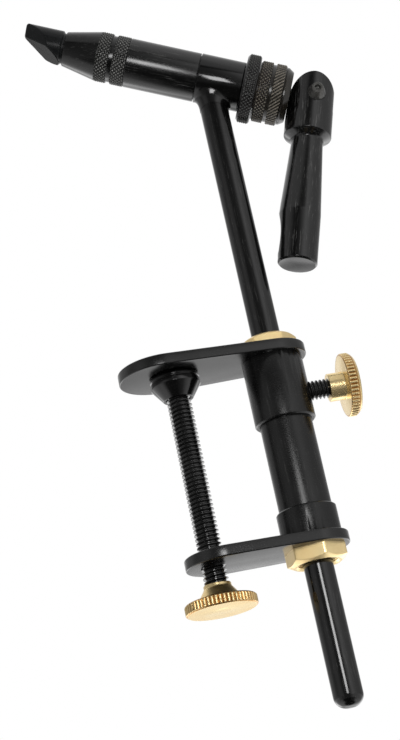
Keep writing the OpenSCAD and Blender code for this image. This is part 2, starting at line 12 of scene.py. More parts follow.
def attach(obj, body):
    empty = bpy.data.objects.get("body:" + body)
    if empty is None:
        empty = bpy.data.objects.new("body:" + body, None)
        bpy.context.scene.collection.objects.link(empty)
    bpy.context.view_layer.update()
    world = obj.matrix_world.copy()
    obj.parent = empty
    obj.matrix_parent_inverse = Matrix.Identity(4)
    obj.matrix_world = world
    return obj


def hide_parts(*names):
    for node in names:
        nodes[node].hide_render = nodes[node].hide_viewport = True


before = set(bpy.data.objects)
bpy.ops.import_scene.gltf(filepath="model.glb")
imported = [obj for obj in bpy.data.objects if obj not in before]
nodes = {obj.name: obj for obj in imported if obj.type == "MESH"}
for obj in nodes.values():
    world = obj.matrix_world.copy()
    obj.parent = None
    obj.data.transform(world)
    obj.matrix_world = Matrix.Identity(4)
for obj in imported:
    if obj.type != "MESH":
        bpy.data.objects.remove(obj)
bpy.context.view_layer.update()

TAU = 2 * math.pi
MM = 0.001

# Sizes: the CAD source's, with diameters halved, and some of this script's own, such as the knurls, threads,
# finger recess, jaw steps, pin head and NOSE_ROUND. FIT is the clearance between moving pieces.
FIT = 0.05
STEM_R, STEM_DROP, STEM_ROUND, STEM_TOP = 4.7625, 114.3, 3.9, 95.9
HEAD_Z, TILT = 105.7, math.radians(22.9)

# Clamp frame, by height
PLATE_T, THROAT, PLATE_ROOT_R = 3.6, 60.4, 11.5
UPPER_END_X, UPPER_END_R = 36.2, 14.2
LOWER_END_X, LOWER_END_R = 28.6, 12.6
LOW_TOP, LOW_BOTTOM = -THROAT, -THROAT - PLATE_T
UPPER_NUT_AF, UPPER_NUT_H = 16.6, 4.1
LOWER_NUT_AF, LOWER_NUT_H = 17.3, 4.9
COLUMN_R, COLUMN_END_R, COLUMN_BORE_R = 8.5, 6.35, 4.82
COLUMN_TOP, COLUMN_LOW = PLATE_T + UPPER_NUT_H - 0.8, LOW_BOTTOM - LOWER_NUT_H + 1.7
SLEEVE_R, SLEEVE_LOW = 9.9, -21.7
LOW_COLLAR_R, LOW_COLLAR_TOP = 9.65, LOW_TOP + 9.4

# Clamp screw, knob and pad, by height
SCREW_X, SCREW_R, SCREW_PITCH = 32.5, 3.97, 1.411
SCREW_NOSE_R, GROOVE_R = 2.6, 2.1
PAD_RING_R, PAD_RING_TOP, PAD_RING_LOW = 4.1, -1.65, -2.35
PAD_R, PAD_TOP, PAD_LOW = 8.1, -0.5, -7.9
PAD_WELL_R, PAD_WEB_TOP, PAD_WEB_LOW = 5.0, -2.4, -4.4
KNOB_R, KNOB_HUB_R, KNOB_TEETH = 11.5, 4.4, 54
KNOB_TOP = LOW_BOTTOM - 5.5
DISC_TOP = KNOB_TOP - 5.1
DISC_LOW = DISC_TOP - 3.4

# Stem lock, by distance from the stem axis
LOCK_Z, STUD_R, STUD_PITCH, STUD_TIP = -12.2, 3.175, 1.27, 4.85
LOCK_R, LOCK_HUB_R, LOCK_TEETH = 10.4, 4.6, 50
LOCK_HUB, LOCK_DISC = 16.2, 21.3
LOCK_END = LOCK_DISC + 4.0

# Head, by distance along its axis from the stem
COLLAR_R, HEAD_BORE_R = 8.575, 6.3
COLLAR_FRONT, COLLAR_REAR = 3.35, -12.2
RING_R, RING_TEETH = 12.0, 54
RING_FRONT = COLLAR_REAR - 2 * FIT
RING_REAR = RING_FRONT - 4.8
ADJUSTER_R, ADJUSTER_LAND, ADJUSTER_TEETH = 10.65, 3.8, 48
ADJUSTER_FRONT = RING_REAR - 0.5
ADJUSTER_REAR = ADJUSTER_FRONT - 8.8
WASHER_R, WASHER_FRONT = 9.9, ADJUSTER_REAR - FIT
WASHER_REAR = WASHER_FRONT - 2.4
ROD_BORE_R, SPRING_BORE_R = 3.25, 4.5
BARREL_R, BARREL_CORE_R, SPIGOT_R = 8.45, 6.2, 6.9
BARREL_REAR, SPRING_REAR = ADJUSTER_REAR + 0.9, ADJUSTER_REAR + 6
BARREL_FRONT = COLLAR_FRONT + 29.6
SPIGOT_FRONT = BARREL_FRONT + 5.4
BAND_R, BAND_TEETH, BAND_LOW = 8.65, 38, BARREL_FRONT - 4.6
CONE_BAND, CONE_TAPER, CONE_FRONT = BARREL_FRONT + 1.4, BARREL_FRONT + 5.6, BARREL_FRONT + 17.6
CONE_MOUTH_R = 5.95

# Jaws, by distance along the head's axis
JAW_R, SHANK_R, SPLIT = 5.95, 4.2, 0.04
SHANK_BORE_R, BUTTON_BORE_R, MOUTH_R, NECK_R, STEP_R = 2.0, 3.3, 5.16, 5.29, 5.45
JAW_REAR, WAIST_END, BUTTON_END, SHANK_END = 14.4, 16.7, 18.9, 45.6
JAW_SHOULDER, JAW_NOSE = CONE_FRONT + 0.7, CONE_FRONT + 14.4
SLANT_AT = JAW_NOSE - 12.0
NOSE_LOW, BELLY, NOSE_ROUND = 1.3, -5.0, 0.9
CHEEK_AT_NOSE, CHEEK_SLOPE, CHEEK_TILT = 2.3, math.radians(36), math.radians(-34.5)

# Cam lever, by height above its pin when it hangs
PIVOT_S, LEAN = WASHER_REAR - 8.75, math.radians(6.4)
LEVER_R, LEVER_LOW, PIVOT_BACK = 8.2, -62.3, 1.2
SHOULDER_LOW, SHOULDER_TOP = -13.6, 1.0
CAM_R, CAM_THROW, CAM_PHASE, CAM_FLAT = 8.265, 0.568, math.radians(40), 8.65
RECESS_TOP, RECESS_END, RECESS_DEPTH, RECESS_TURN = -43.8, -58.4, 1.15, math.radians(14)
PIN_R, PIN_HEAD_R, PIN_BORE_R, PIN_SEAT_R, PIN_SEAT = 1.5, 3.12, 1.52, 3.22, 6.3
LEVER_SLOT, SLOT_FLOOR = 4.5, -3.9


# Places
def turn_y(a):
    return Matrix.Rotation(a, 4, "Y")


def at(x, y, z):
    return Matrix.Translation((x, y, z))


WORLD = Matrix.Identity(4)
UPSIDE_DOWN = Matrix.Rotation(math.pi, 4, "X")
HEAD = at(0, 0, HEAD_Z) @ turn_y(TILT - math.pi / 2)
LEVER = HEAD @ at(0, 0, PIVOT_S) @ turn_y(math.pi / 2 - LEAN) @ Matrix.Rotation(math.pi, 4, "Z")
PIN = LEVER @ Matrix.Rotation(-math.pi / 2, 4, "X")
SCREW = at(-SCREW_X, 0, 0)
LOCK = at(0, 0, LOCK_Z) @ turn_y(math.pi / 2)


# Profiles
TINY, NEARLY_STRAIGHT, LONGEST_CUT = 1e-6, math.radians(172), 0.45


def soft(points, radius, closed=False, steps=4):
    """A profile of (r, z) or (r, z, own rounding) points with each corner rounded by a short arc."""
    pts = [(np.array(p[:2], float), p[2] if len(p) > 2 else radius) for p in points]
    out = []
    n = len(pts)
    for i, (p, rad) in enumerate(pts):
        if not closed and i in (0, n - 1):
            out.append(p)
            continue
        a, b = pts[i - 1][0], pts[(i + 1) % n][0]
        u, v = a - p, b - p
        lu, lv = np.linalg.norm(u), np.linalg.norm(v)
        if rad <= 0 or lu < TINY or lv < TINY:
            out.append(p)
            continue
        u, v = u / lu, v / lv
        angle = math.acos(max(-1.0, min(1.0, float(u @ v))))
        if angle > NEARLY_STRAIGHT:
            out.append(p)
            continue
        d = min(rad / math.tan(angle / 2), LONGEST_CUT * lu, LONGEST_CUT * lv)
        rad = d * math.tan(angle / 2)
        mid = (u + v) / np.linalg.norm(u + v)
        c = p + mid * (rad / math.sin(angle / 2))
        s, e = p + u * d - c, p + v * d - c
        sweep = math.pi - angle
        for k in range(steps + 1):
            t = k / steps
            w = (math.sin((1 - t) * sweep) * s + math.sin(t * sweep) * e) / math.sin(sweep)
            out.append(c + w)
    return np.array(out)


def dense(prof, low, high, step, bore=0.0):
    """The profile with extra rows where it runs between the heights low and high, outside the radius bore."""
    out = [prof[0]]
    for a, b in zip(prof[:-1], prof[1:]):
        outside = min(a[0], b[0]) >= bore
        if outside and min(a[1], b[1]) < high and max(a[1], b[1]) > low and abs(b[1] - a[1]) > step:
            n = int(math.ceil(abs(b[1] - a[1]) / step))
            out += [a + (b - a) * k / n for k in range(1, n)]
        out.append(b)
    return np.array(out)


def tri(x):
    """Triangle wave, 0 at whole numbers and 1 half way between them."""
    return 1 - 2 * np.abs(x - np.floor(x) - 0.5)


def softmin(a, b, k):
    """The smaller of a and b, with the crossing rounded over about k."""
    h = np.clip(0.5 + 0.5 * (b - a) / k, 0, 1)
    return b * (1 - h) + a * h - k * h * (1 - h)


# Meshes
WELD = 0.02
KNURL_LEAD, BAND_DEPTH, RING_DEPTH, ADJUSTER_DEPTH, STRAIGHT_DEPTH = 1.4, 0.52, 0.55, 0.5, 0.42


def solid(name, verts, quads, place):
    """A closed mesh in its place: welded, in metres, its faces turned outwards."""
    me = bpy.data.meshes.new(name)
    me.from_pydata([tuple(v) for v in verts], [], quads)
    bm = bmesh.new()
    bm.from_mesh(me)
    bmesh.ops.remove_doubles(bm, verts=bm.verts, dist=WELD)
    bmesh.ops.dissolve_degenerate(bm, edges=bm.edges, dist=WELD)
    bmesh.ops.recalc_face_normals(bm, faces=bm.faces)
    if bm.calc_volume(signed=True) < 0:
        bmesh.ops.reverse_faces(bm, faces=bm.faces)
    bm.to_mesh(me)
    bm.free()
    me.transform(Matrix.Scale(MM, 4) @ place)
    obj = bpy.data.objects.new(name, me)
    bpy.context.scene.collection.objects.link(obj)
    return obj


def finish_piece(name, verts, quads, place, body, mat, slot, replaces, sharp=32):
    """Makes a piece that rides on a body and stands for CAD nodes."""
    obj = solid(name, verts, quads, place)
    shade(obj.data, sharp)
    obj.data.materials.append(mat)
    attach(obj, body)
    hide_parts(*replaces)
    return obj


def shade(me, sharp):
    """Smooth shading with sharp edges above an angle in degrees."""
    for p in me.polygons:
        p.use_smooth = True
    me.set_sharp_from_angle(angle=math.radians(sharp))


def between_rings(rings, n, closed=False):
    """Faces between rings of n vertices each. closed joins the last ring to the first as well."""
    quads = []
    for i in range(rings if closed else rings - 1):
        k = (i + 1) % rings
        for j in range(n):
            m = (j + 1) % n
            quads.append((i * n + j, i * n + m, k * n + m, k * n + j))
    return quads


def revolve(prof, seg, shape=None, closed=False):
    """Vertices and faces of a profile turned round Z. shape(theta, r, z) may lower the radius."""
    prof = np.asarray(prof, float)
    theta = np.arange(seg) * TAU / seg
    r = np.repeat(prof[:, :1], seg, 1)
    z = np.repeat(prof[:, 1:2], seg, 1)
    if shape is not None:
        r = np.where(r > TINY, np.minimum(r, np.maximum(shape(theta[None, :], r, z), 0)), r)
    verts = np.stack([r * np.cos(theta), r * np.sin(theta), z], -1).reshape(-1, 3)
    return verts, between_rings(len(prof), seg, closed)


def turned(name, prof, place, body, mat, slot, replaces, seg=96, shape=None, closed=False, sharp=32):
    """A piece turned from a profile."""
    verts, quads = revolve(prof, seg, shape, closed)
    return finish_piece(name, verts, quads, place, body, mat, slot, replaces, sharp)


def joined(parts):
    """Several (vertices, faces) pairs as one."""
    verts, quads, base = [], [], 0
    for v, q in parts:
        verts += [tuple(p) for p in v]
        quads += [tuple(i + base for i in f) for f in q]
        base += len(v)
    return verts, quads


def diamond(radius, count, depth, second=1.0):
    """Crossed knurling: two families of V grooves, the second one as deep as the share second."""
    def shape(theta, r, z):
        a = tri(count * theta / TAU + z / KNURL_LEAD)
        b = tri(count * theta / TAU - z / KNURL_LEAD)
        return radius - depth * (1 - np.minimum(a, 1 - second + second * b))
    return shape


def straight(radius, count, low, high):
    """Straight knurling between the heights low and high, with rounded valleys."""
    def shape(theta, r, z):
        wave = 0.5 - 0.5 * np.cos(count * theta)
        wave = 1 - (1 - wave) ** 1.6
        fade = np.clip(np.minimum(z - low, high - z) / 0.25, 0, 1)
        return radius - STRAIGHT_DEPTH * (1 - wave) * fade
    return shape


def threaded(name, r, pitch, low, high, place, body, mat, slot, replaces, edge_low=0.0, edge_high=0.0,
             parts=()):
    """A right-hand V thread whose rows follow the helix, closed at both ends by shrinking rows."""
    seg, depth, crest, run_out = 64, 0.6 * pitch, 0.14, 0.45 * pitch
    marks = np.array([0, crest / 2, 0.5 - crest / 2, 0.5 + crest / 2, 1 - crest / 2])
    heights = np.array([1.0, 1.0, 0.0, 0.0, 1.0])
    turns = int(math.ceil((high - low) / pitch)) + 2
    us = np.concatenate([k + marks for k in range(turns)] + [[turns]])
    hs = np.concatenate([np.tile(heights, turns), [1.0]])
    theta = np.arange(seg + 1) * TAU / seg
    z = low - 1.5 * pitch + pitch * (us[:, None] + theta[None, :] / TAU)
    rad = np.repeat((r - depth * (1 - hs))[:, None], seg + 1, 1)
    zc = np.clip(z, low, high)
    if edge_low:
        rad = np.minimum(rad, r - edge_low + (zc - low))
    if edge_high:
        rad = np.minimum(rad, r - edge_high + (high - zc))
    outside = np.clip(1 - np.maximum(low - z, z - high) / run_out, 0, 1)
    rad = np.where(outside < 1, np.minimum(rad, r - depth) * outside, rad)
    verts = np.stack([rad * np.cos(theta), rad * np.sin(theta), zc], -1).reshape(-1, 3)
    quads = []
    for i in range(len(us) - 1):
        for j in range(seg):
            a = i * (seg + 1) + j
            quads.append((a, a + 1, a + seg + 2, a + seg + 1))
    whole = joined([(verts, quads)] + list(parts))
    return finish_piece(name, *whole, place, body, mat, slot, replaces, sharp=40)


# Materials
class Graph:
    """Short calls for building a node tree."""

    def __init__(self, tree):
        self.tree = tree

    def node(self, kind, **props):
        n = self.tree.nodes.new(kind)
        for key, value in props.items():
            setattr(n, key, value)
        return n

    def put(self, value, socket):
        if isinstance(value, bpy.types.NodeSocket):
            self.tree.links.new(value, socket)
        else:
            socket.default_value = value

    def math(self, op, a, b=0.0):
        n = self.node("ShaderNodeMath", operation=op)
        self.put(a, n.inputs[0])
        self.put(b, n.inputs[1])
        return n.outputs[0]

    def vector(self, op, a, b=None):
        n = self.node("ShaderNodeVectorMath", operation=op)
        self.put(a, n.inputs[0])
        if b is not None:
            self.put(b, n.inputs[1])
        return n.outputs["Value" if op in ("DOT_PRODUCT", "LENGTH") else "Vector"]

    def combine(self, x, y, z):
        n = self.node("ShaderNodeCombineXYZ")
        for value, socket in zip((x, y, z), n.inputs):
            self.put(value, socket)
        return n.outputs[0]

    def place(self, kind="Object"):
        return self.node("ShaderNodeTexCoord").outputs[kind]

    def noise(self, vec, scale, detail=3.0, rough=0.5):
        n = self.node("ShaderNodeTexNoise")
        self.put(vec, n.inputs["Vector"])
        for key, value in (("Scale", scale), ("Detail", detail), ("Roughness", rough)):
            n.inputs[key].default_value = value
        return n.outputs["Fac"]

    def span(self, value, low, high, to_low, to_high, kind="LINEAR"):
        n = self.node("ShaderNodeMapRange", interpolation_type=kind)
        self.put(value, n.inputs["Value"])
        for key, v in (("From Min", low), ("From Max", high), ("To Min", to_low), ("To Max", to_high)):
            n.inputs[key].default_value = v
        return n.outputs["Result"]

    def blend(self, fac, a, b):
        n = self.node("ShaderNodeMix", data_type="RGBA")
        for value, key in ((fac, "Factor"), (a, "A"), (b, "B")):
            self.put(value, n.inputs[key])
        return n.outputs["Result"]

    def ramp(self, fac, stops):
        """Grey levels by position, as (position, level) pairs."""
        n = self.node("ShaderNodeValToRGB")
        self.put(fac, n.inputs[0])
        elements = n.color_ramp.elements
        while len(elements) > 1:
            elements.remove(elements[-1])
        elements[0].position = stops[0][0]
        for pos, level in stops[1:]:
            elements.new(pos)
        for element, (pos, level) in zip(elements, stops):
            element.color = (level, level, level, 1)
        return n.outputs["Color"]

    def bump(self, height, strength, distance):
        n = self.node("ShaderNodeBump")
        self.put(height, n.inputs["Height"])
        n.inputs["Strength"].default_value = strength
        n.inputs["Distance"].default_value = distance
        return n.outputs["Normal"]

    def shader(self, kind, colour, strength=None):
        n = self.node(kind)
        self.put(colour, n.inputs["Color"])
        if strength is not None:
            n.inputs["Strength"].default_value = strength
        return n.outputs[0]

    def mix(self, fac, a, b):
        n = self.node("ShaderNodeMixShader")
        for value, socket in zip((fac, a, b), n.inputs):
            self.put(value, socket)
        return n.outputs[0]


def surface(name):
    """A new material, the graph of its nodes and the sockets of its shader."""
    mat = bpy.data.materials.new(name)
    mat.use_nodes = True
    shader = next(n for n in mat.node_tree.nodes if n.type == "BSDF_PRINCIPLED")
    return mat, Graph(mat.node_tree), shader.inputs


def axis_coords(g, place):
    """Distance along the turning axis and from it, in metres."""
    origin = place.translation * MM
    axis = (place.to_3x3() @ Vector((0, 0, 1))).normalized()
    p = g.vector("SUBTRACT", g.place(), tuple(origin))
    along = g.vector("DOT_PRODUCT", p, tuple(axis))
    out = g.vector("LENGTH", g.vector("CROSS_PRODUCT", p, tuple(axis)))
    return along, out


# Grey of fine scratches, and dark brown painted as shade in the valleys of knurled brass.
SCRATCH_GREY, VALLEY_SHADE_BROWN = (0.30, 0.30, 0.29, 1), (0.42, 0.20, 0.05, 1)
PALE_BRASS = (0.96, 0.76, 0.40, 1)
STEEL_GRAIN, BRASS_GRAIN = 0.00004, 0.00005


def steel(name, place, dark, light, tint=(1.0, 1.0, 1.0), rough=0.16, ring=1.0, ior=1.55, metallic=0.0,
          crest=None, span=None, crest_wear_and_sheen_colour=(0.18, 0.18, 0.17), scratch=0.0):
    """Blackened steel: a near-black skin with a clean gloss, fine turning rings and slightly uneven colour.
    crest is the pair of radii between which knurled teeth are painted lighter and half metallic, partly as
    wear and partly as a painted highlight for their sparkle, and span the stretch of the axis they fill.
    scratch is how far fine scratches drawn along the axis show."""
    mat, g, sockets = surface(name)
    along, out = axis_coords(g, place)
    rings = g.noise(g.combine(along, out, 0.0), 2600.0, 2.0)
    cloud = g.noise(g.place(), 90.0, 4.0, 0.6)
    speck = g.noise(g.place(), 900.0, 2.0, 0.7)
    low = tuple(dark * t for t in tint) + (1,)
    high = tuple(light * t for t in tint) + (1,)
    colour = g.blend(g.span(cloud, 0.35, 0.68, 0, 1), low, high)
    if scratch:
        axis = place.to_3x3() @ Vector((0, 0, 0.95))
        drawn = g.vector("MULTIPLY", g.combine(along, along, along), tuple(axis))
        lines = g.noise(g.vector("SUBTRACT", g.place(), drawn), 2200.0, 3.0, 0.7)
        colour = g.blend(g.span(lines, 0.58, 0.74, 0, scratch), colour, SCRATCH_GREY)
    sockets["Metallic"].default_value = metallic
    # Knurl crests painted lighter and half metallic: partly wear, partly a painted highlight for the teeth's
    # sparkle.
    if crest:
        patch = g.noise(g.place(), 300.0, 3.0, 0.6)
        tooth = g.span(out, crest[0] * MM, crest[1] * MM, 0, 1)
        wear_and_sheen = g.math("MULTIPLY", tooth, g.span(patch, 0.3, 0.6, 0.35, 1))
        if span:
            wear_and_sheen = g.math("MULTIPLY", wear_and_sheen, g.math("GREATER_THAN", along, span[0] * MM))
            wear_and_sheen = g.math("MULTIPLY", wear_and_sheen, g.math("LESS_THAN", along, span[1] * MM))
        colour = g.blend(wear_and_sheen, colour, crest_wear_and_sheen_colour + (1,))
        g.put(g.math("MULTIPLY", wear_and_sheen, 0.5), sockets["Metallic"])
    g.put(colour, sockets["Base Color"])
    uneven = g.math("ADD", g.span(cloud, 0.3, 0.7, -0.02, 0.04), g.span(rings, 0.3, 0.7, -0.02, 0.03))
    g.put(g.math("ADD", uneven, rough), sockets["Roughness"])
    grain = g.math("ADD", rings, g.math("MULTIPLY", speck, 0.35))
    g.put(g.bump(grain, 0.10 * ring, STEEL_GRAIN), sockets["Normal"])
    sockets["IOR"].default_value = ior
    return mat


def brass(name, place, rough, deep=(0.80, 0.54, 0.22), haze=0.0, teeth=None):
    """Turned brass: pale yellow metal with concentric tool marks, duller in patches. haze is the share that
    scatters light, and teeth the radius of a knurled rim whose valleys are painted dark brown as shade."""
    mat, g, sockets = surface(name)
    along, out = axis_coords(g, place)
    rings = g.noise(g.combine(along, out, 0.0), 1900.0, 3.0, 0.65)
    cloud = g.noise(g.place(), 120.0, 4.0, 0.6)
    colour = g.blend(g.span(cloud, 0.36, 0.72, 0, 0.55), PALE_BRASS, deep + (1,))
    # Painted shade: the valleys of the knurled rim are coloured dark brown.
    if teeth:
        inner = g.span(out, (teeth - 0.58) * MM, (teeth - 0.50) * MM, 0, 1)
        outer = g.span(out, (teeth - 0.34) * MM, (teeth - 0.06) * MM, 1, 0)
        colour = g.blend(g.math("MULTIPLY", inner, outer), colour, VALLEY_SHADE_BROWN)
    g.put(colour, sockets["Base Color"])
    g.put(g.math("ADD", g.span(cloud, 0.3, 0.7, -0.03, 0.06), rough), sockets["Roughness"])
    g.put(g.bump(rings, 0.16, BRASS_GRAIN), sockets["Normal"])
    sockets["Metallic"].default_value = 1.0 - haze
    return mat


# Knurl bands of barrel and cone: crests painted lighter, as wear and as a painted highlight.
BAND_WEAR_AND_SHEEN = {"crest": (BAND_R - 0.35, BAND_R - 0.05), "span": (BAND_LOW - 0.1, CONE_TAPER + 0.1)}
m_plate = steel("plate black", WORLD, 0.001, 0.003, rough=0.22, ring=0.4, ior=1.60)
m_tube = steel("tube black", WORLD, 0.001, 0.003, rough=0.27, ior=1.5, scratch=0.04)
m_stem = steel("stem steel", WORLD, 0.0005, 0.0015, rough=0.10, ior=1.58, scratch=0.07)
m_thread = steel("thread black", SCREW, 0.002, 0.006, rough=0.15, ring=0.3, ior=1.7)
m_stud = steel("stud black", LOCK, 0.002, 0.006, rough=0.15, ring=0.3, ior=1.7)
m_pad = steel("pad black", SCREW, 0.0005, 0.002, rough=0.11, ior=1.6)
m_head = steel("head black", HEAD, 0.0005, 0.0015, rough=0.11)
m_barrel = steel("barrel black", HEAD, 0.0005, 0.0015, rough=0.19, ior=1.62, scratch=0.10, **BAND_WEAR_AND_SHEEN)
m_cone = steel("cone black", HEAD, 0.0005, 0.0015, rough=0.17, scratch=0.06, **BAND_WEAR_AND_SHEEN)
# Lock ring and adjusting collar: knurl crests painted lighter, as wear and as a painted highlight.
m_ring = steel("ring black", HEAD, 0.002, 0.004, rough=0.20, ring=0.2, crest=(RING_R - 0.36, RING_R - 0.08),
               crest_wear_and_sheen_colour=(0.075, 0.075, 0.07))
m_adjuster = steel("adjuster brown", HEAD, 0.005, 0.012, (1.0, 0.84, 0.62), 0.20, 0.5,
                   crest=(ADJUSTER_R - 0.31, ADJUSTER_R - 0.05), crest_wear_and_sheen_colour=(0.17, 0.15, 0.12))
m_jaw = steel("jaw steel", HEAD, 0.003, 0.006, (0.92, 1.0, 1.04), rough=0.22, ior=1.31)
m_lever = steel("lever black", LEVER, 0.0005, 0.002, rough=0.13, ior=1.6, scratch=0.16)
m_pin = steel("pin steel", PIN, 0.05, 0.09, (1.0, 0.98, 0.92), 0.20, metallic=0.6)
m_spring = steel("spring steel", HEAD, 0.35, 0.42, rough=0.22, metallic=1.0)
m_rod = steel("rod steel", HEAD, 0.10, 0.16, rough=0.22, metallic=0.9)
m_knob = brass("knob brass", SCREW, 0.32, teeth=KNOB_R)
m_lock_knob = brass("lock brass", LOCK, 0.24, haze=0.08, teeth=LOCK_R)
m_nut = brass("nut brass", WORLD, 0.31, deep=(0.82, 0.56, 0.23), haze=0.24)


# Clamp frame
def plate(name, z0, end_x, end_r, holes, replaces):
    """Flat plate with two round ends, small rounded edges and open holes."""
    edge = 0.45
    lean = math.asin((end_r - PLATE_ROOT_R) / end_x)
    arc, hole_seg = 48, 48
    outline = []
    for k in range(arc + 1):
        a = -math.pi / 2 + lean + (math.pi - 2 * lean) * k / arc
        outline.append((PLATE_ROOT_R * math.cos(a), PLATE_ROOT_R * math.sin(a), math.cos(a), math.sin(a)))
    for k in range(arc + 1):
        a = math.pi / 2 - lean + (math.pi + 2 * lean) * k / arc
        outline.append((end_r * math.cos(a) - end_x, end_r * math.sin(a), math.cos(a), math.sin(a)))
    outline = np.array(outline)
    rows = [(edge * (1 - math.sin(a)), edge * (1 - math.cos(a))) for a in (math.pi / 8 * k for k in range(5))]
    rows += [(inset, PLATE_T - z) for inset, z in reversed(rows)]
    bm = bmesh.new()
    loops = []
    for inset, z in rows:
        pts = outline[:, :2] - inset * outline[:, 2:]
        loops.append([bm.verts.new((x, y, z0 + z)) for x, y in pts])
    n = len(outline)
    for a, b in zip(loops[:-1], loops[1:]):
        for j in range(n):
            m = (j + 1) % n
            bm.faces.new((a[j], a[m], b[m], b[j]))
    bores = []
    around = [TAU * k / hole_seg for k in range(hole_seg)]
    for x, r in holes:
        pair = [[bm.verts.new((x + r * math.cos(a), r * math.sin(a), z)) for a in around]
                for z in (z0, z0 + PLATE_T)]
        for j in range(hole_seg):
            m = (j + 1) % hole_seg
            bm.faces.new((pair[0][j], pair[1][j], pair[1][m], pair[0][m]))
        bores.append(pair)
    for side, outer in ((0, loops[0]), (1, loops[-1])):
        edges = [bm.edges.get((outer[j], outer[(j + 1) % n])) for j in range(n)]
        for pair in bores:
            edges += [bm.edges.get((pair[side][j], pair[side][(j + 1) % hole_seg])) for j in range(hole_seg)]
        bmesh.ops.triangle_fill(bm, use_beauty=True, edges=edges, normal=(0, 0, 1))
    verts = [tuple(v.co) for v in bm.verts]
    bm.verts.index_update()
    faces = [tuple(v.index for v in f.verts) for f in bm.faces]
    bm.free()
    return finish_piece(name, verts, faces, WORLD, "clamp_frame", m_plate, "plate_steel", replaces)


COLUMN_HOLE, SCREW_HOLE_R = (0, COLUMN_END_R + FIT), SCREW_R + FIT
plate("upper_plate_body", 0, UPPER_END_X, UPPER_END_R, [COLUMN_HOLE], ("upper_plate",))
plate("lower_plate_body", LOW_BOTTOM, LOWER_END_X, LOWER_END_R, [COLUMN_HOLE, (-SCREW_X, SCREW_HOLE_R)],
      ("lower_plate",))


def tube(name, points, rounding, replaces):
    """A turned tube of the clamp's column."""
    turned(name, soft(points, rounding, True), WORLD, "clamp_frame", m_tube, "black_steel", replaces,
           closed=True)


SLEEVE_BORE_R = COLUMN_R + FIT
tube("column_tube_body", [(COLUMN_BORE_R, COLUMN_LOW), (COLUMN_END_R, COLUMN_LOW, 0.3),
                          (COLUMN_END_R, LOW_TOP), (COLUMN_R, LOW_TOP), (COLUMN_R, 0), (COLUMN_END_R, 0),
                          (COLUMN_END_R, COLUMN_TOP, 0.3), (COLUMN_BORE_R, COLUMN_TOP, 0.3)], 0.1,
     ("column_tube",))
tube("upper_sleeve_body", [(SLEEVE_BORE_R, SLEEVE_LOW), (SLEEVE_R - 0.45, SLEEVE_LOW, 0.2),
                           (SLEEVE_R, SLEEVE_LOW + 0.45, 0.25), (SLEEVE_R, 0), (SLEEVE_BORE_R, 0)], 0.05,
     ("upper_sleeve",))
tube("lower_collar_body", [(SLEEVE_BORE_R, LOW_TOP), (LOW_COLLAR_R, LOW_TOP),
                           (LOW_COLLAR_R, LOW_COLLAR_TOP - 0.5, 0.25),
                           (LOW_COLLAR_R - 0.5, LOW_COLLAR_TOP, 0.2), (SLEEVE_BORE_R, LOW_COLLAR_TOP)], 0.05,
     ("lower_collar",))


def nut(name, place, af, height, corner_at, replaces):
    """Hexagonal nut, chamfered on its free end, with a countersunk threaded bore."""
    corner_r = af / 2 / math.cos(math.pi / 6)
    chamfer, slope, sharpness = 1.3, math.tan(math.radians(60)), 70.0
    first = math.radians(corner_at + 30)

    def shape(theta, r, z):
        sides = [np.maximum(np.cos(theta - first - k * TAU / 6), 1e-3) for k in range(6)]
        flat = sum((s / (af / 2)) ** sharpness for s in sides) ** (-1 / sharpness)
        cone = corner_r - np.maximum(z - (height - chamfer), -5) * slope
        return np.where(r > COLUMN_END_R + 0.55, np.minimum(softmin(flat, cone, 0.16), r), r)

    wall, fine, fine_n, sink = corner_r + 1, 2.6, 22, 0.65
    prof = [(COLUMN_END_R, 0), (wall, 0)]
    prof += [(wall, height - fine + fine * k / fine_n) for k in range(fine_n + 1)]
    prof += [(corner_r - chamfer * slope - 0.02, height), (COLUMN_END_R + sink, height),
             (COLUMN_END_R, height - sink)]
    pitch, depth = 1.06, 0.32
    rows = int((height - 1.0) / pitch * 4)
    prof += [(COLUMN_END_R + (depth if k % 2 else 0.0), (height - sink) * (1 - k / rows))
             for k in range(1, rows)]
    verts, quads = revolve(np.array(prof), 144, shape, True)
    finish_piece(name, verts, quads, place, "clamp_frame", m_nut, "brass", replaces, sharp=24)


nut("upper_nut_body", at(0, 0, PLATE_T), UPPER_NUT_AF, UPPER_NUT_H, -9, ("upper_nut",))
nut("lower_nut_body", at(0, 0, LOW_BOTTOM) @ UPSIDE_DOWN, LOWER_NUT_AF, LOWER_NUT_H, -39, ("lower_nut",))

# Clamp screw, knob and pad
screw_nose = soft([(0, -4.7), (SCREW_NOSE_R, -4.7), (SCREW_NOSE_R, PAD_WEB_TOP), (GROOVE_R, PAD_RING_LOW),
                   (GROOVE_R, PAD_RING_TOP - 0.01), (SCREW_NOSE_R, PAD_RING_TOP + 0.05),
                   (SCREW_NOSE_R, -1.0, 0.3), (0, -0.9)], 0.08)
threaded("clamp_screw_body", SCREW_R, SCREW_PITCH, DISC_TOP + 0.2, -4.5, SCREW, "screw", m_thread,
         "thread_steel", ("clamp_screw",), edge_high=0.5, parts=[revolve(screw_nose, 48)])
pad_ring_prof = soft([(GROOVE_R, PAD_RING_LOW), (PAD_RING_R, PAD_RING_LOW), (PAD_RING_R, PAD_RING_TOP),
                      (GROOVE_R, PAD_RING_TOP)], 0.1, True)
turned("pad_ring_body", pad_ring_prof, SCREW, "screw", m_spring, "spring_steel", ("pad_ring",), seg=64,
       closed=True)
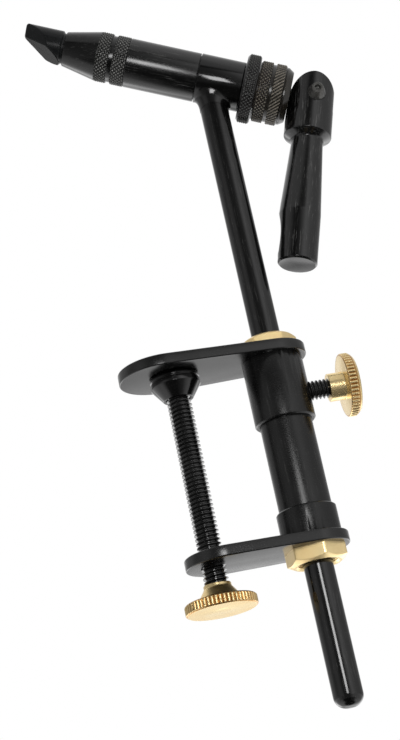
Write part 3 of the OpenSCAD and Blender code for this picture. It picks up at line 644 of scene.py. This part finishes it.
pad_prof = [(SCREW_HOLE_R, PAD_LOW + 1.2), (SCREW_HOLE_R, PAD_LOW + 0.5), (4.3, PAD_LOW, 0.1),
            (4.9, PAD_LOW, 0.25), (PAD_R, -3.5, 0.3), (PAD_R, -2.0, 0.12), (PAD_R - 0.35, -1.85, 0.1),
            (PAD_R - 0.35, -1.5, 0.1),
            (PAD_R, -1.35, 0.12), (PAD_R, PAD_TOP, 0.35), (PAD_WELL_R, PAD_TOP), (PAD_WELL_R, PAD_WEB_TOP),
            (SCREW_NOSE_R + FIT, PAD_WEB_TOP), (SCREW_NOSE_R + FIT, PAD_WEB_LOW), (SCREW_HOLE_R, PAD_WEB_LOW)]
turned("clamp_pad_body", soft(pad_prof, 0.08, True), SCREW, "pad", m_pad, "black_steel", ("clamp_pad",),
       closed=True)

knob_prof = soft([(0, DISC_LOW), (3.0, DISC_LOW), (3.3, DISC_LOW + 0.08), (KNOB_R - 0.6, DISC_LOW, 0.2),
                  (KNOB_R, DISC_LOW + 0.4, 0.3), (KNOB_R, DISC_TOP - 0.5, 0.5), (KNOB_R - 0.5, DISC_TOP, 0.4),
                  (8.3, DISC_TOP, 0.5), (6.6, DISC_TOP + 0.9, 2.2), (KNOB_HUB_R, KNOB_TOP - 1.1, 1.2),
                  (KNOB_HUB_R, KNOB_TOP, 0.25), (3.6, KNOB_TOP, 0.1), (3.4, KNOB_TOP - 0.4),
                  (0, KNOB_TOP - 0.4)], 0.1)
turned("clamp_knob_body", dense(knob_prof, DISC_LOW, DISC_TOP, 0.2), SCREW, "screw", m_knob, "brass",
       ("clamp_knob",), seg=KNOB_TEETH * 10, sharp=40,
       shape=straight(KNOB_R, KNOB_TEETH, DISC_LOW + 0.2, DISC_TOP - 0.1))

# Stem lock
threaded("lock_stud_body", STUD_R, STUD_PITCH, STUD_TIP, LOCK_DISC + 1.2, LOCK, "lock_screw", m_stud,
         "thread_steel", ("lock_stud",), edge_low=0.5)
lock_prof = soft([(0, LOCK_HUB + 0.4), (2.9, LOCK_HUB + 0.4), (3.2, LOCK_HUB, 0.1),
                  (LOCK_HUB_R, LOCK_HUB, 0.2), (LOCK_HUB_R, LOCK_DISC, 0.3), (LOCK_R - 0.3, LOCK_DISC, 0.2),
                  (LOCK_R, LOCK_DISC + 0.3, 0.15), (LOCK_R, LOCK_DISC + 2.4, 0.6),
                  (LOCK_R - 1.2, LOCK_END, 1.3), (3.0, LOCK_END), (0, LOCK_END - 0.1)], 0.1)
turned("lock_knob_body", dense(lock_prof, LOCK_DISC, LOCK_END, 0.2), LOCK, "lock_screw", m_lock_knob, "brass",
       ("lock_knob",), seg=LOCK_TEETH * 10, sharp=40,
       shape=straight(LOCK_R, LOCK_TEETH, LOCK_DISC + 0.15, LOCK_END - 0.1))

# Stem and head collar
stem_end = [(STEM_R - STEM_ROUND + STEM_ROUND * math.sin(k * math.pi / 32),
             -STEM_DROP + STEM_ROUND - STEM_ROUND * math.cos(k * math.pi / 32)) for k in range(17)]
turned("stem_body", np.array([(0, -STEM_DROP)] + stem_end + [(STEM_R, STEM_TOP), (0, STEM_TOP)]),
       WORLD, "post", m_stem, "stem_steel", ("stem",), seg=128)


def world_height(h, x):
    """Height over the clamp of the point at x that lies h above the head's axis."""
    return HEAD_Z + (h - x * math.sin(TILT)) / math.cos(TILT)


def flare():
    """Concave brazed fillet that leaves the stem and spreads under the head collar."""
    seg, steps = 96, 14
    rows = steps + 1
    inner_r, inner_h = STEM_R * 0.98, -7.9
    to_head = HEAD.inverted()
    turns = [(math.cos(TAU * j / seg), math.sin(TAU * j / seg)) for j in range(seg)]
    verts = []
    for c, s in turns:
        front = 0.5 - 0.5 * c
        wide = 1.9 + 1.5 * front ** 1.4 + 0.35 * s * s
        tall = 3.1 + 1.5 * front
        foot = []
        for rad in (STEM_R, STEM_R + wide):
            x, y = rad * c, min(abs(rad * s), COLLAR_R * 0.9)
            h = -math.sqrt(COLLAR_R ** 2 - y ** 2) + 0.12
            foot.append(Vector((x, math.copysign(y, s), world_height(h, x))))
        edge = to_head @ foot[1]
        if edge.z > COLLAR_FRONT - FIT:
            edge.z = COLLAR_FRONT - FIT
            foot[1] = HEAD @ edge
        low = Vector((STEM_R * c, STEM_R * s, foot[0].z - tall))
        for k in range(rows):
            t = k / steps
            p = low * (1 - t) ** 2 + foot[0] * 2 * t * (1 - t) + foot[1] * t * t
            push = 0.10 * (1 - t)
            verts.append((p.x + push * c, p.y + push * s, p.z))
    base = len(verts)
    for j, (c, s) in enumerate(turns):
        x, y = inner_r * c, inner_r * s
        verts += [(x, y, verts[j * rows][2]), (x, y, world_height(inner_h, x))]
    quads = []
    for j in range(seg):
        m = (j + 1) % seg
        quads += [(j * rows + k, m * rows + k, m * rows + k + 1, j * rows + k + 1) for k in range(steps)]
    for j in range(seg):
        m = (j + 1) % seg
        a, b = base + 2 * j, base + 2 * m
        quads += [(j * rows, a, b, m * rows), (a, a + 1, b + 1, b),
                  (a + 1, j * rows + steps, m * rows + steps, b + 1)]
    return verts, quads


collar_prof = soft([(HEAD_BORE_R, COLLAR_REAR), (COLLAR_R, COLLAR_REAR, 0.35), (COLLAR_R, COLLAR_FRONT, 0.18),
                    (HEAD_BORE_R, COLLAR_FRONT)], 0.1, True)
collar = revolve(collar_prof, 128, closed=True)
collar = ([tuple(HEAD @ Vector(v)) for v in collar[0]], collar[1])
finish_piece("head_collar_body", *joined([collar, flare()]), WORLD, "post", m_head, "black_steel",
             ("head_collar",))


# Barrel, nose cone and rear collars
KNURL_STEP, KNURL_FLOOR_R = 0.1, 7.5


def head_piece(name, prof, mat, slot, body, replaces, knurl=None, low=0, high=0, seg=128):
    """A turned piece of the head, with close rows between low and high where it is knurled."""
    if knurl:
        prof = dense(np.vstack([prof, prof[:1]]), low, high, KNURL_STEP, KNURL_FLOOR_R)[:-1]
    return turned(name, prof, HEAD, body, mat, slot, replaces, seg, knurl, closed=True, sharp=34)


def banded(low, high):
    """Knurling between low and high, run out into a chamfer at both ends."""
    edge, teeth = 0.35, diamond(BAND_R, BAND_TEETH, BAND_DEPTH)

    def shape(theta, r, z):
        inside = (z > low - TINY) & (z < high + TINY)
        cut = np.minimum(teeth(theta, r, z), BAND_R - edge + np.minimum(z - low, high - z))
        return np.where(inside & (r > BAND_R - 2), np.minimum(r, cut), r)
    return shape


RELIEF_R, BARREL_SHOULDER = 7.7, COLLAR_FRONT + 0.3
barrel_rear = soft([(ROD_BORE_R, BARREL_REAR), (BARREL_CORE_R, BARREL_REAR, 0.3),
                    (BARREL_CORE_R, COLLAR_FRONT + FIT), (RELIEF_R, COLLAR_FRONT + FIT),
                    (RELIEF_R, BARREL_SHOULDER), (BARREL_R, BARREL_SHOULDER, 0.12),
                    (BARREL_R, BAND_LOW - 0.35, 0.1)], 0.1)
barrel_band = [(BARREL_R - 0.25, BAND_LOW), (BAND_R, BAND_LOW + 0.01), (BAND_R, BARREL_FRONT - 0.01)]
barrel_front = soft([(BAND_R - 0.5, BARREL_FRONT + 0.02), (SPIGOT_R, BARREL_FRONT), (SPIGOT_R, SPIGOT_FRONT),
                     (SPRING_BORE_R, SPIGOT_FRONT), (SPRING_BORE_R, SPRING_REAR),
                     (ROD_BORE_R, SPRING_REAR)], 0.05)
barrel_prof = np.vstack([barrel_rear, barrel_band, barrel_front])
head_piece("barrel_body", barrel_prof, m_barrel, "black_steel", "head", ("barrel",),
           banded(BAND_LOW, BARREL_FRONT), BAND_LOW, BARREL_FRONT, seg=BAND_TEETH * 8)

CONE_BORE_R, CONE_NECK_R, CONE_THROAT_R, CONE_REAR = SPIGOT_R + FIT, 8.0, 4.5, BARREL_FRONT + FIT
cone_prof = np.vstack([
    soft([(CONE_BORE_R, CONE_REAR), (CONE_NECK_R, CONE_REAR, 0.1), (CONE_NECK_R, CONE_BAND, 0.1)], 0.05),
    [(BAND_R - 0.3, CONE_BAND), (BAND_R, CONE_BAND + 0.01), (BAND_R, CONE_TAPER - 0.01)],
    soft([(BAND_R - 0.25, CONE_TAPER), (BAND_R - 0.22, CONE_TAPER + 0.1, 0.1),
          (CONE_MOUTH_R, CONE_FRONT - 0.3, 0.25), (CONE_MOUTH_R - 0.3, CONE_FRONT, 0.15),
          (CONE_MOUTH_R - 0.75, CONE_FRONT, 0.05), (CONE_THROAT_R, CONE_FRONT - 3.6),
          (CONE_THROAT_R, CONE_TAPER), (CONE_BORE_R, CONE_TAPER)], 0.05)])
head_piece("nose_cone_body", cone_prof, m_cone, "black_steel", "cone", ("nose_cone",),
           banded(CONE_BAND, CONE_TAPER), CONE_BAND, CONE_TAPER, seg=BAND_TEETH * 8)

SEAT_R, SEAT_AT = 10.0, RING_REAR + 0.45
ring_prof = soft([(HEAD_BORE_R, SEAT_AT), (SEAT_R, SEAT_AT), (SEAT_R, RING_REAR),
                  (RING_R - 0.8, RING_REAR, 0.3), (RING_R, RING_REAR + 0.7, 0.4),
                  (RING_R, RING_FRONT - 1.0, 0.4), (RING_R - 1.1, RING_FRONT, 0.3),
                  (HEAD_BORE_R, RING_FRONT)], 0.06, True)
head_piece("lock_ring_body", ring_prof, m_ring, "black_steel", "ring", ("lock_ring",),
           diamond(RING_R, RING_TEETH, RING_DEPTH), RING_REAR, RING_FRONT, seg=RING_TEETH * 8)

LAND_REAR, LAND_FRONT = ADJUSTER_REAR + ADJUSTER_LAND, ADJUSTER_FRONT - ADJUSTER_LAND
ADJUSTER_WAIST_R, ADJUSTER_FACE_R, ADJUSTER_LIP = ADJUSTER_R - 0.7, 9.9, ADJUSTER_FRONT + 0.42
adjuster_prof = soft([(HEAD_BORE_R, ADJUSTER_REAR), (ADJUSTER_FACE_R, ADJUSTER_REAR, 0.2),
                      (ADJUSTER_R, ADJUSTER_REAR + 0.6, 0.3), (ADJUSTER_R, LAND_REAR, 0.2),
                      (ADJUSTER_WAIST_R, LAND_REAR, 0.2), (ADJUSTER_WAIST_R, LAND_FRONT, 0.2),
                      (ADJUSTER_R, LAND_FRONT, 0.2), (ADJUSTER_R, ADJUSTER_FRONT - 0.4, 0.25),
                      (ADJUSTER_R - 0.45, ADJUSTER_FRONT, 0.1), (ADJUSTER_FACE_R, ADJUSTER_FRONT),
                      (ADJUSTER_FACE_R, ADJUSTER_LIP, 0.05), (HEAD_BORE_R, ADJUSTER_LIP)], 0.06, True)
rear_knurl = diamond(ADJUSTER_R, ADJUSTER_TEETH, ADJUSTER_DEPTH, 0.45)
front_knurl = diamond(ADJUSTER_R, ADJUSTER_TEETH, ADJUSTER_DEPTH)


def adjuster_shape(theta, r, z):
    middle = (ADJUSTER_REAR + ADJUSTER_FRONT) / 2
    cut = np.where(z < middle, rear_knurl(theta, r, z), front_knurl(theta, r, z))
    return np.where(r > ADJUSTER_WAIST_R + 0.05, np.minimum(r, cut), r)


head_piece("adjusting_collar_body", adjuster_prof, m_adjuster, "collar_steel", "adjuster",
           ("adjusting_collar",), adjuster_shape, ADJUSTER_REAR, ADJUSTER_FRONT, seg=ADJUSTER_TEETH * 8)
washer_prof = soft([(ROD_BORE_R, WASHER_REAR), (WASHER_R - 1.2, WASHER_REAR, 0.2),
                    (WASHER_R, WASHER_FRONT - 0.6, 0.2), (WASHER_R, WASHER_FRONT, 0.1),
                    (ROD_BORE_R, WASHER_FRONT)], 0.1, True)
head_piece("thrust_washer_body", washer_prof, m_adjuster, "collar_steel", "washer", ("thrust_washer",))


# Jaws
def cheek(h, s):
    """Half thickness that the ground cheek leaves at height h and station s."""
    mid = (JAW_R + NOSE_LOW) / 2
    across = math.cos(CHEEK_SLOPE) * math.cos(CHEEK_TILT)
    fall = math.cos(CHEEK_SLOPE) * math.sin(CHEEK_TILT) * (h - mid) + math.sin(CHEEK_SLOPE) * (s - JAW_NOSE)
    return CHEEK_AT_NOSE - fall / across


def underside(s):
    """Height of the jaws' lower edge at station s of their exposed part."""
    if s > SLANT_AT:
        return BELLY + (NOSE_LOW - BELLY) * (s - SLANT_AT) / (JAW_NOSE - SLANT_AT)
    return -JAW_R + (BELLY + JAW_R) * (s - JAW_SHOULDER) / (SLANT_AT - JAW_SHOULDER)


def jaw(name, side, body, replaces):
    """One half of the split jaws, as rings from its rear to the nose. side is its sign along Y."""
    outer_n, inner_n, head_n, nose_n, bevel_n = 40, 12, 40, 6, 6
    thinnest, cheek_round, widest_bevel = 0.3, 0.22, 0.5
    head_start, nose_start = JAW_SHOULDER + 0.5, JAW_NOSE - NOSE_ROUND
    stations = [(JAW_REAR, SHANK_R, SHANK_BORE_R), (WAIST_END, SHANK_R, SHANK_BORE_R),
                (WAIST_END, SHANK_R, BUTTON_BORE_R), (BUTTON_END, SHANK_R, BUTTON_BORE_R),
                (BUTTON_END, SHANK_R, 0), (SHANK_END, SHANK_R, 0), (CONE_FRONT, MOUTH_R, 0),
                (JAW_SHOULDER, NECK_R, 0), (JAW_SHOULDER + 0.02, STEP_R, 0), (head_start, JAW_R, 0)]
    stations += [(head_start + (nose_start - head_start) * k / head_n, JAW_R, 0)
                 for k in range(1, head_n + 1)]
    stations += [(JAW_NOSE - NOSE_ROUND * (1 - math.sin(math.pi / 2 / nose_n * k)), JAW_R, 0)
                 for k in range(1, nose_n + 1)]
    rings = []
    for s, rad, hole in stations:
        head = s >= JAW_SHOULDER + 0.01
        low = max(-rad, underside(s)) if head else -rad
        into = max(s - nose_start, 0)
        drop = NOSE_ROUND - math.sqrt(max(NOSE_ROUND ** 2 - into ** 2, 0))
        inset = 0.4 * drop
        top, low = rad - drop, low + inset
        t = np.linspace(0, 1, outer_n)
        h = low + (top - low) * (1 - np.cos(math.pi * t)) / 2
        y = np.sqrt(np.maximum((rad - drop) ** 2 - h ** 2, 0))
        if head:
            y = softmin(y, np.maximum(cheek(h, s), thinnest), cheek_round)
        y = np.maximum(y - inset, SPLIT)
        bevel = min(widest_bevel, 0.4 * float(y[0])) if head and low > -rad + 0.05 else 0.0
        ring = [(low, float(y[0]) - bevel)]
        ring += [(max(a, low + bevel * 0.75 * (1 - k / bevel_n)) if k < bevel_n else a, b)
                 for k, (a, b) in enumerate(zip(h, y))]
        for k in range(inner_n):
            u = 1 - 2 * k / (inner_n - 1)
            if hole:
                a = math.pi / 2 * u
                ring.append((hole * math.sin(a), max(SPLIT, hole * math.cos(a))))
            else:
                ring.append((low + (top - low) * (1 + u) / 2, SPLIT))
        rings.append([(a, side * b, s) for a, b in ring])
    n = len(rings[0])
    last = (len(rings) - 1) * n
    verts = [p for ring in rings for p in ring]
    quads = between_rings(len(rings), n) + [tuple(range(n)), tuple(range(last, last + n))]
    return finish_piece(name, verts, quads, HEAD, body, m_jaw, "jaw_steel", replaces, sharp=22)


jaw("jaw_near_body", -1, "near_jaw", ("jaw_near",))
jaw("jaw_far_body", 1, "far_jaw", ("jaw_far",))


# Cam lever and its pin
def recess_depth(z):
    """Depth of the finger recess at height z: a round scoop that ends below at a short step."""
    t = np.clip((RECESS_TOP - z) / (RECESS_TOP - RECESS_END), 0, 1)
    scoop = RECESS_DEPTH * (1 - (2 * t - 1) ** 2) + 0.3 * np.clip(2 * t - 1, 0, 1) ** 2
    step = np.clip((z - RECESS_END) / 0.35, 0, 1)
    return np.where((z < RECESS_TOP) & (z > RECESS_END), scoop * step, 0.0)


def swell(z):
    """How much fuller the grip is on the side of the stem at height z."""
    return np.interp(z, [-60.5, -58.4, -43.6, -40.0, -17.0], [0.25, 0.35, 0.8, 0.74, 0.0])


def lever_mesh():
    """Round grip that widens into the hub, which the cam and its flat bound."""
    c, s = math.cos(LEAN), math.sin(LEAN)
    cam_x, cam_z = CAM_THROW * math.cos(CAM_PHASE), -CAM_THROW * math.sin(CAM_PHASE)
    cam_x, cam_z = cam_x * c - cam_z * s, cam_x * s + cam_z * c
    z_top = cam_z + CAM_R - 0.012
    prof = soft([(0, LEVER_LOW), (2.0, LEVER_LOW + 0.05), (4.0, LEVER_LOW + 0.2),
                 (6.0, LEVER_LOW + 0.45, 0.2), (6.6, LEVER_LOW + 1.0, 0.35), (6.8, -43.5, 30),
                 (5.4, -15.3, 0.9), (LEVER_R, SHOULDER_LOW, 0.35), (LEVER_R, SHOULDER_TOP)], 0.1, steps=10)
    prof = dense(prof, LEVER_LOW + 0.7, SHOULDER_LOW, 0.35)
    prof = dense(prof, SHOULDER_LOW, SHOULDER_TOP, 0.5)
    seg, cap_n, cap = 144, 44, z_top - SHOULDER_TOP
    prof = np.vstack([prof, [(LEVER_R, SHOULDER_TOP + cap * math.sin(math.pi / 2 * k / cap_n))
                             for k in range(1, cap_n + 1)]])
    flat_top, round_low, far, hub_round, scoop_round = 0.97, -0.8, -30.0, 0.30, 0.35
    theta = np.arange(seg) * TAU / seg
    ct, st = np.cos(theta)[None, :], np.sin(theta)[None, :]
    z = np.repeat(prof[:, 1:2], seg, 1)
    row_r = np.repeat(prof[:, :1], seg, 1)
    half = np.sqrt(np.maximum(CAM_R ** 2 - (z - cam_z) ** 2, 0))
    front = np.where(z < flat_top, (CAM_FLAT - z * s) / c, cam_x + half)
    rear = np.where(z < round_low, far, cam_x - half)
    w = np.clip((z - SHOULDER_TOP) / cap, 0, 1)
    shift = (cam_x - PIVOT_BACK) * w * w * (3 - 2 * w)
    x0 = PIVOT_BACK + shift
    bulge = swell(z)
    round_r = -shift * ct + np.sqrt(np.maximum(row_r ** 2 - (shift * st) ** 2, 0))
    round_r = round_r + bulge * np.maximum(ct, 0) ** 1.5 - 0.3 * bulge * np.maximum(-ct, 0) ** 2
    limit = np.where(ct > 0, (front - x0) / np.maximum(ct, 1e-3), (x0 - rear) / np.maximum(-ct, 1e-3))
    rad = softmin(round_r, np.maximum(limit, 0), hub_round)
    aside = np.maximum(np.cos(theta + RECESS_TURN)[None, :], 1e-3)
    scooped = softmin(rad, (row_r + bulge - recess_depth(z)) / aside, scoop_round)
    rad = np.where(recess_depth(z) > 0, scooped, rad)
    rad = np.where(row_r < TINY, 0, np.maximum(rad, 0.001))
    verts = np.stack([x0 + rad * ct, rad * st, z], -1).reshape(-1, 3)
    last = (len(prof) - 1) * seg
    quads = between_rings(len(prof), seg)
    for j in range(-seg // 4, seg // 4):
        a, b = j % seg, (j + 1) % seg
        quads.append((last + a, last + b, last + (seg // 2 - b) % seg, last + (seg // 2 - a) % seg))
    return verts, quads


def carve(obj, tools, sharp):
    """Cuts the tools out of obj and keeps the result as its mesh."""
    for tool in tools:
        mod = obj.modifiers.new("cut", "BOOLEAN")
        mod.operation, mod.solver, mod.object = "DIFFERENCE", "EXACT", tool
    dg = bpy.context.evaluated_depsgraph_get()
    me = bpy.data.meshes.new_from_object(obj.evaluated_get(dg))
    obj.modifiers.clear()
    obj.data = me
    shade(me, sharp)
    for tool in tools:
        bpy.data.objects.remove(tool)


def box_mesh(low, high):
    """Vertices and faces of the box between two corners."""
    verts = [(x, y, z) for x in (low[0], high[0]) for y in (low[1], high[1]) for z in (low[2], high[2])]
    return verts, [(0, 1, 3, 2), (4, 6, 7, 5), (0, 4, 5, 1), (2, 3, 7, 6), (0, 2, 6, 4), (1, 5, 7, 3)]


lever = finish_piece("cam_lever_body", *lever_mesh(), LEVER, "lever", m_lever, "black_steel", ("cam_lever",),
                     sharp=28)
PAST, FAR_PAST = 12, 14
slot_corners = (-PAST, -LEVER_SLOT / 2, SLOT_FLOOR), (FAR_PAST, LEVER_SLOT / 2, FAR_PAST)
slot_tool = solid("cutter", *box_mesh(*slot_corners), LEVER)
bore = revolve([(0, -PAST), (PIN_BORE_R, -PAST), (PIN_BORE_R, PIN_SEAT), (PIN_SEAT_R, PIN_SEAT),
                (PIN_SEAT_R, PAST), (0, PAST)], 64)
bore_tool = solid("cutter", *bore, PIN)
carve(lever, [slot_tool, bore_tool], 28)

pin_prof = soft([(0, -7.1), (PIN_R, -7.1, 0.25), (PIN_R, PIN_SEAT + 0.02), (PIN_HEAD_R, PIN_SEAT + 0.02),
                 (PIN_HEAD_R, 8.05, 0.25), (1.95, 11.1, 0.3), (1.2, 11.1, 0.1), (1.05, 10.9), (0.95, 9.7),
                 (0.5, 9.55), (0, 9.75)], 0.1, steps=5)
turned("lever_pin_body", pin_prof, PIN, "lever", m_pin, "pin_steel", ("lever_pin",), seg=72)

# CAD pieces that keep their shape
for node, mat in (("draw_rod", m_rod), ("return_spring", m_spring)):
    nodes[node].data.materials.clear()
    nodes[node].data.materials.append(mat)

# Camera, as fitted to the photograph
CAM_LENS, CAM_AT = 84.546, (-102.057, -525.204, -185.952)
CAM_AZIMUTH, CAM_ELEVATION, CAM_ROLL = (math.radians(a) for a in (8.488, 19.399, -12.074))
scene = bpy.context.scene
cam = bpy.data.cameras.new("camera")
cam.sensor_fit, cam.sensor_height = "VERTICAL", 36.0
cam.lens = CAM_LENS
cam.clip_start, cam.clip_end = 0.01, 50
cam_obj = bpy.data.objects.new("camera", cam)
level = math.cos(CAM_ELEVATION)
fwd = Vector((math.sin(CAM_AZIMUTH) * level, math.cos(CAM_AZIMUTH) * level, math.sin(CAM_ELEVATION)))
right = Vector((math.cos(CAM_AZIMUTH), -math.sin(CAM_AZIMUTH), 0))
up = right.cross(fwd)
c, s = math.cos(CAM_ROLL), math.sin(CAM_ROLL)
right, up = c * right + s * up, c * up - s * right
axes = Matrix((right, up, -fwd)).transposed().to_4x4()
cam_obj.matrix_world = Matrix.Translation(Vector(CAM_AT) * MM) @ axes
scene.collection.objects.link(cam_obj)
scene.camera = cam_obj

# Light and background
scene.view_settings.view_transform = "Standard"
WHITE = (1, 1, 1, 1)

# What polished surfaces mirror, as brightness by compass direction: white behind and to the right, a dark
# room in front. Each is for one stretch of height, from straight below to above.
NADIR = [(-180, .03), (0, .05), (180, .03)]
BELOW = [(-180, .04), (-140, .04), (-120, .07), (-98, .75), (-55, 1.0), (-26, 1.1), (-8, 2.2), (20, 2.4),
         (60, 1.0), (110, .8), (140, .2), (180, .04)]
UNDER = [(-180, .15), (-150, .13), (-120, .3), (-60, .9), (-38, 1.2), (-26, 3.0), (-16, 3.2), (-9, 1.0),
         (-3, .6), (4, .85), (15, .95), (27, 2.4), (45, 1.8), (60, .7), (120, .7), (150, .6), (180, .15)]
AROUND = [(-180, .20), (-169, .17), (-160, .15), (-151, .13), (-142, .17), (-133, .33), (-123, .42),
          (-113, .42), (-103, .35), (-92, .27), (-80, .35), (-67, .50), (-52, .45), (-32, .50), (-15, .90),
          (0, 1.2), (20, 1.2), (35, .60), (53, .38), (73, .40), (89, .43), (102, .50), (114, .57), (125, .65),
          (135, .80), (150, 1.0), (155, .95), (164, .70), (170, .40), (180, .20)]
DARK = [(-180, .03), (-135, .08), (-105, .25), (-60, .45), (0, 1.0), (60, .5), (120, .5), (148, .6),
        (165, .15), (180, .03)]
ABOVE = [(-180, .5), (-90, .5), (0, 1.1), (30, .8), (54, .62), (137, .75), (156, .58), (180, .5)]
BANDS = [(-0.95, NADIR), (-0.82, BELOW), (-0.62, BELOW), (-0.50, UNDER), (-0.17, UNDER), (-0.05, AROUND),
         (0.43, AROUND), (0.47, DARK), (0.54, DARK), (0.62, ABOVE)]


def by_azimuth(pairs):
    """The pairs with their compass angles as shares of a turn."""
    return [((a + 180) / 360, v) for a, v in pairs]


world = bpy.data.worlds.new("studio")
scene.world = world
world.use_nodes = True
g = Graph(world.node_tree)
g.tree.nodes.clear()
split = g.node("ShaderNodeSeparateXYZ")
g.put(g.place("Generated"), split.inputs[0])
compass = g.math("ADD", g.math("DIVIDE", g.math("ARCTAN2", split.outputs[0], split.outputs[1]), TAU), 0.5)
mirror = g.ramp(compass, by_azimuth(NADIR))
for (low_z, lower), (high_z, upper) in zip(BANDS[:-1], BANDS[1:]):
    if upper is not lower:
        change = g.span(split.outputs[2], low_z, high_z, 0, 1, "SMOOTHSTEP")
        mirror = g.blend(change, mirror, g.ramp(compass, by_azimuth(upper)))
path = g.node("ShaderNodeLightPath").outputs
mirrored = g.shader("ShaderNodeBackground", mirror)
soft_light = g.shader("ShaderNodeBackground", WHITE, 0.28)
seen = g.shader("ShaderNodeBackground", WHITE)
lit = g.mix(path["Is Glossy Ray"], soft_light, mirrored)
g.put(g.mix(path["Is Camera Ray"], lit, seen), g.node("ShaderNodeOutputWorld").inputs[0])


def lamp(name, place, target, size, radiance):
    """Square lamp at place, turned to target, in metres."""
    light = bpy.data.lights.new(name, "AREA")
    light.shape, light.size = "SQUARE", size
    light.energy = radiance * math.pi * size * size
    obj = bpy.data.objects.new(name, light)
    obj.location = place
    obj.rotation_euler = (Vector(target) - Vector(place)).to_track_quat("-Z", "Y").to_euler()
    scene.collection.objects.link(obj)
    return obj


lamp("front_lamp", (-0.075, -0.465, -0.011), (0, 0, 0), 0.12, 10.0)
lamp("top_softbox", (0.25, -0.1, 0.75), (0, 0, 0.05), 0.6, 1.2).visible_glossy = False
lamp("front_fill", (-0.02, -0.7, 0.02), (0, 0, 0), 0.3, 22.0).visible_glossy = False

# White floor, partly glowing to the camera and clear from below
FLOOR_HALF, FLOOR_Z, FLOOR_GLOW = 8, -0.32, 0.6
floor_mat = bpy.data.materials.new("floor white")
floor_mat.use_nodes = True
g = Graph(floor_mat.node_tree)
g.tree.nodes.clear()
diffuse = g.shader("ShaderNodeBsdfDiffuse", (0.9, 0.9, 0.9, 1))
glow = g.shader("ShaderNodeEmission", WHITE)
share = g.math("MULTIPLY", g.node("ShaderNodeLightPath").outputs["Is Camera Ray"], FLOOR_GLOW)
underneath = g.node("ShaderNodeNewGeometry").outputs["Backfacing"]
clear = g.shader("ShaderNodeBsdfTransparent", WHITE)
g.put(g.mix(underneath, g.mix(share, diffuse, glow), clear), g.node("ShaderNodeOutputMaterial").inputs[0])
floor_me = bpy.data.meshes.new("floor")
corners = [(FLOOR_HALF * x, FLOOR_HALF * y, FLOOR_Z) for x, y in ((-1, -1), (1, -1), (1, 1), (-1, 1))]
floor_me.from_pydata(corners, [], [(0, 1, 2, 3)])
floor_me.materials.append(floor_mat)
floor = bpy.data.objects.new("floor", floor_me)
scene.collection.objects.link(floor)
floor.visible_glossy = False
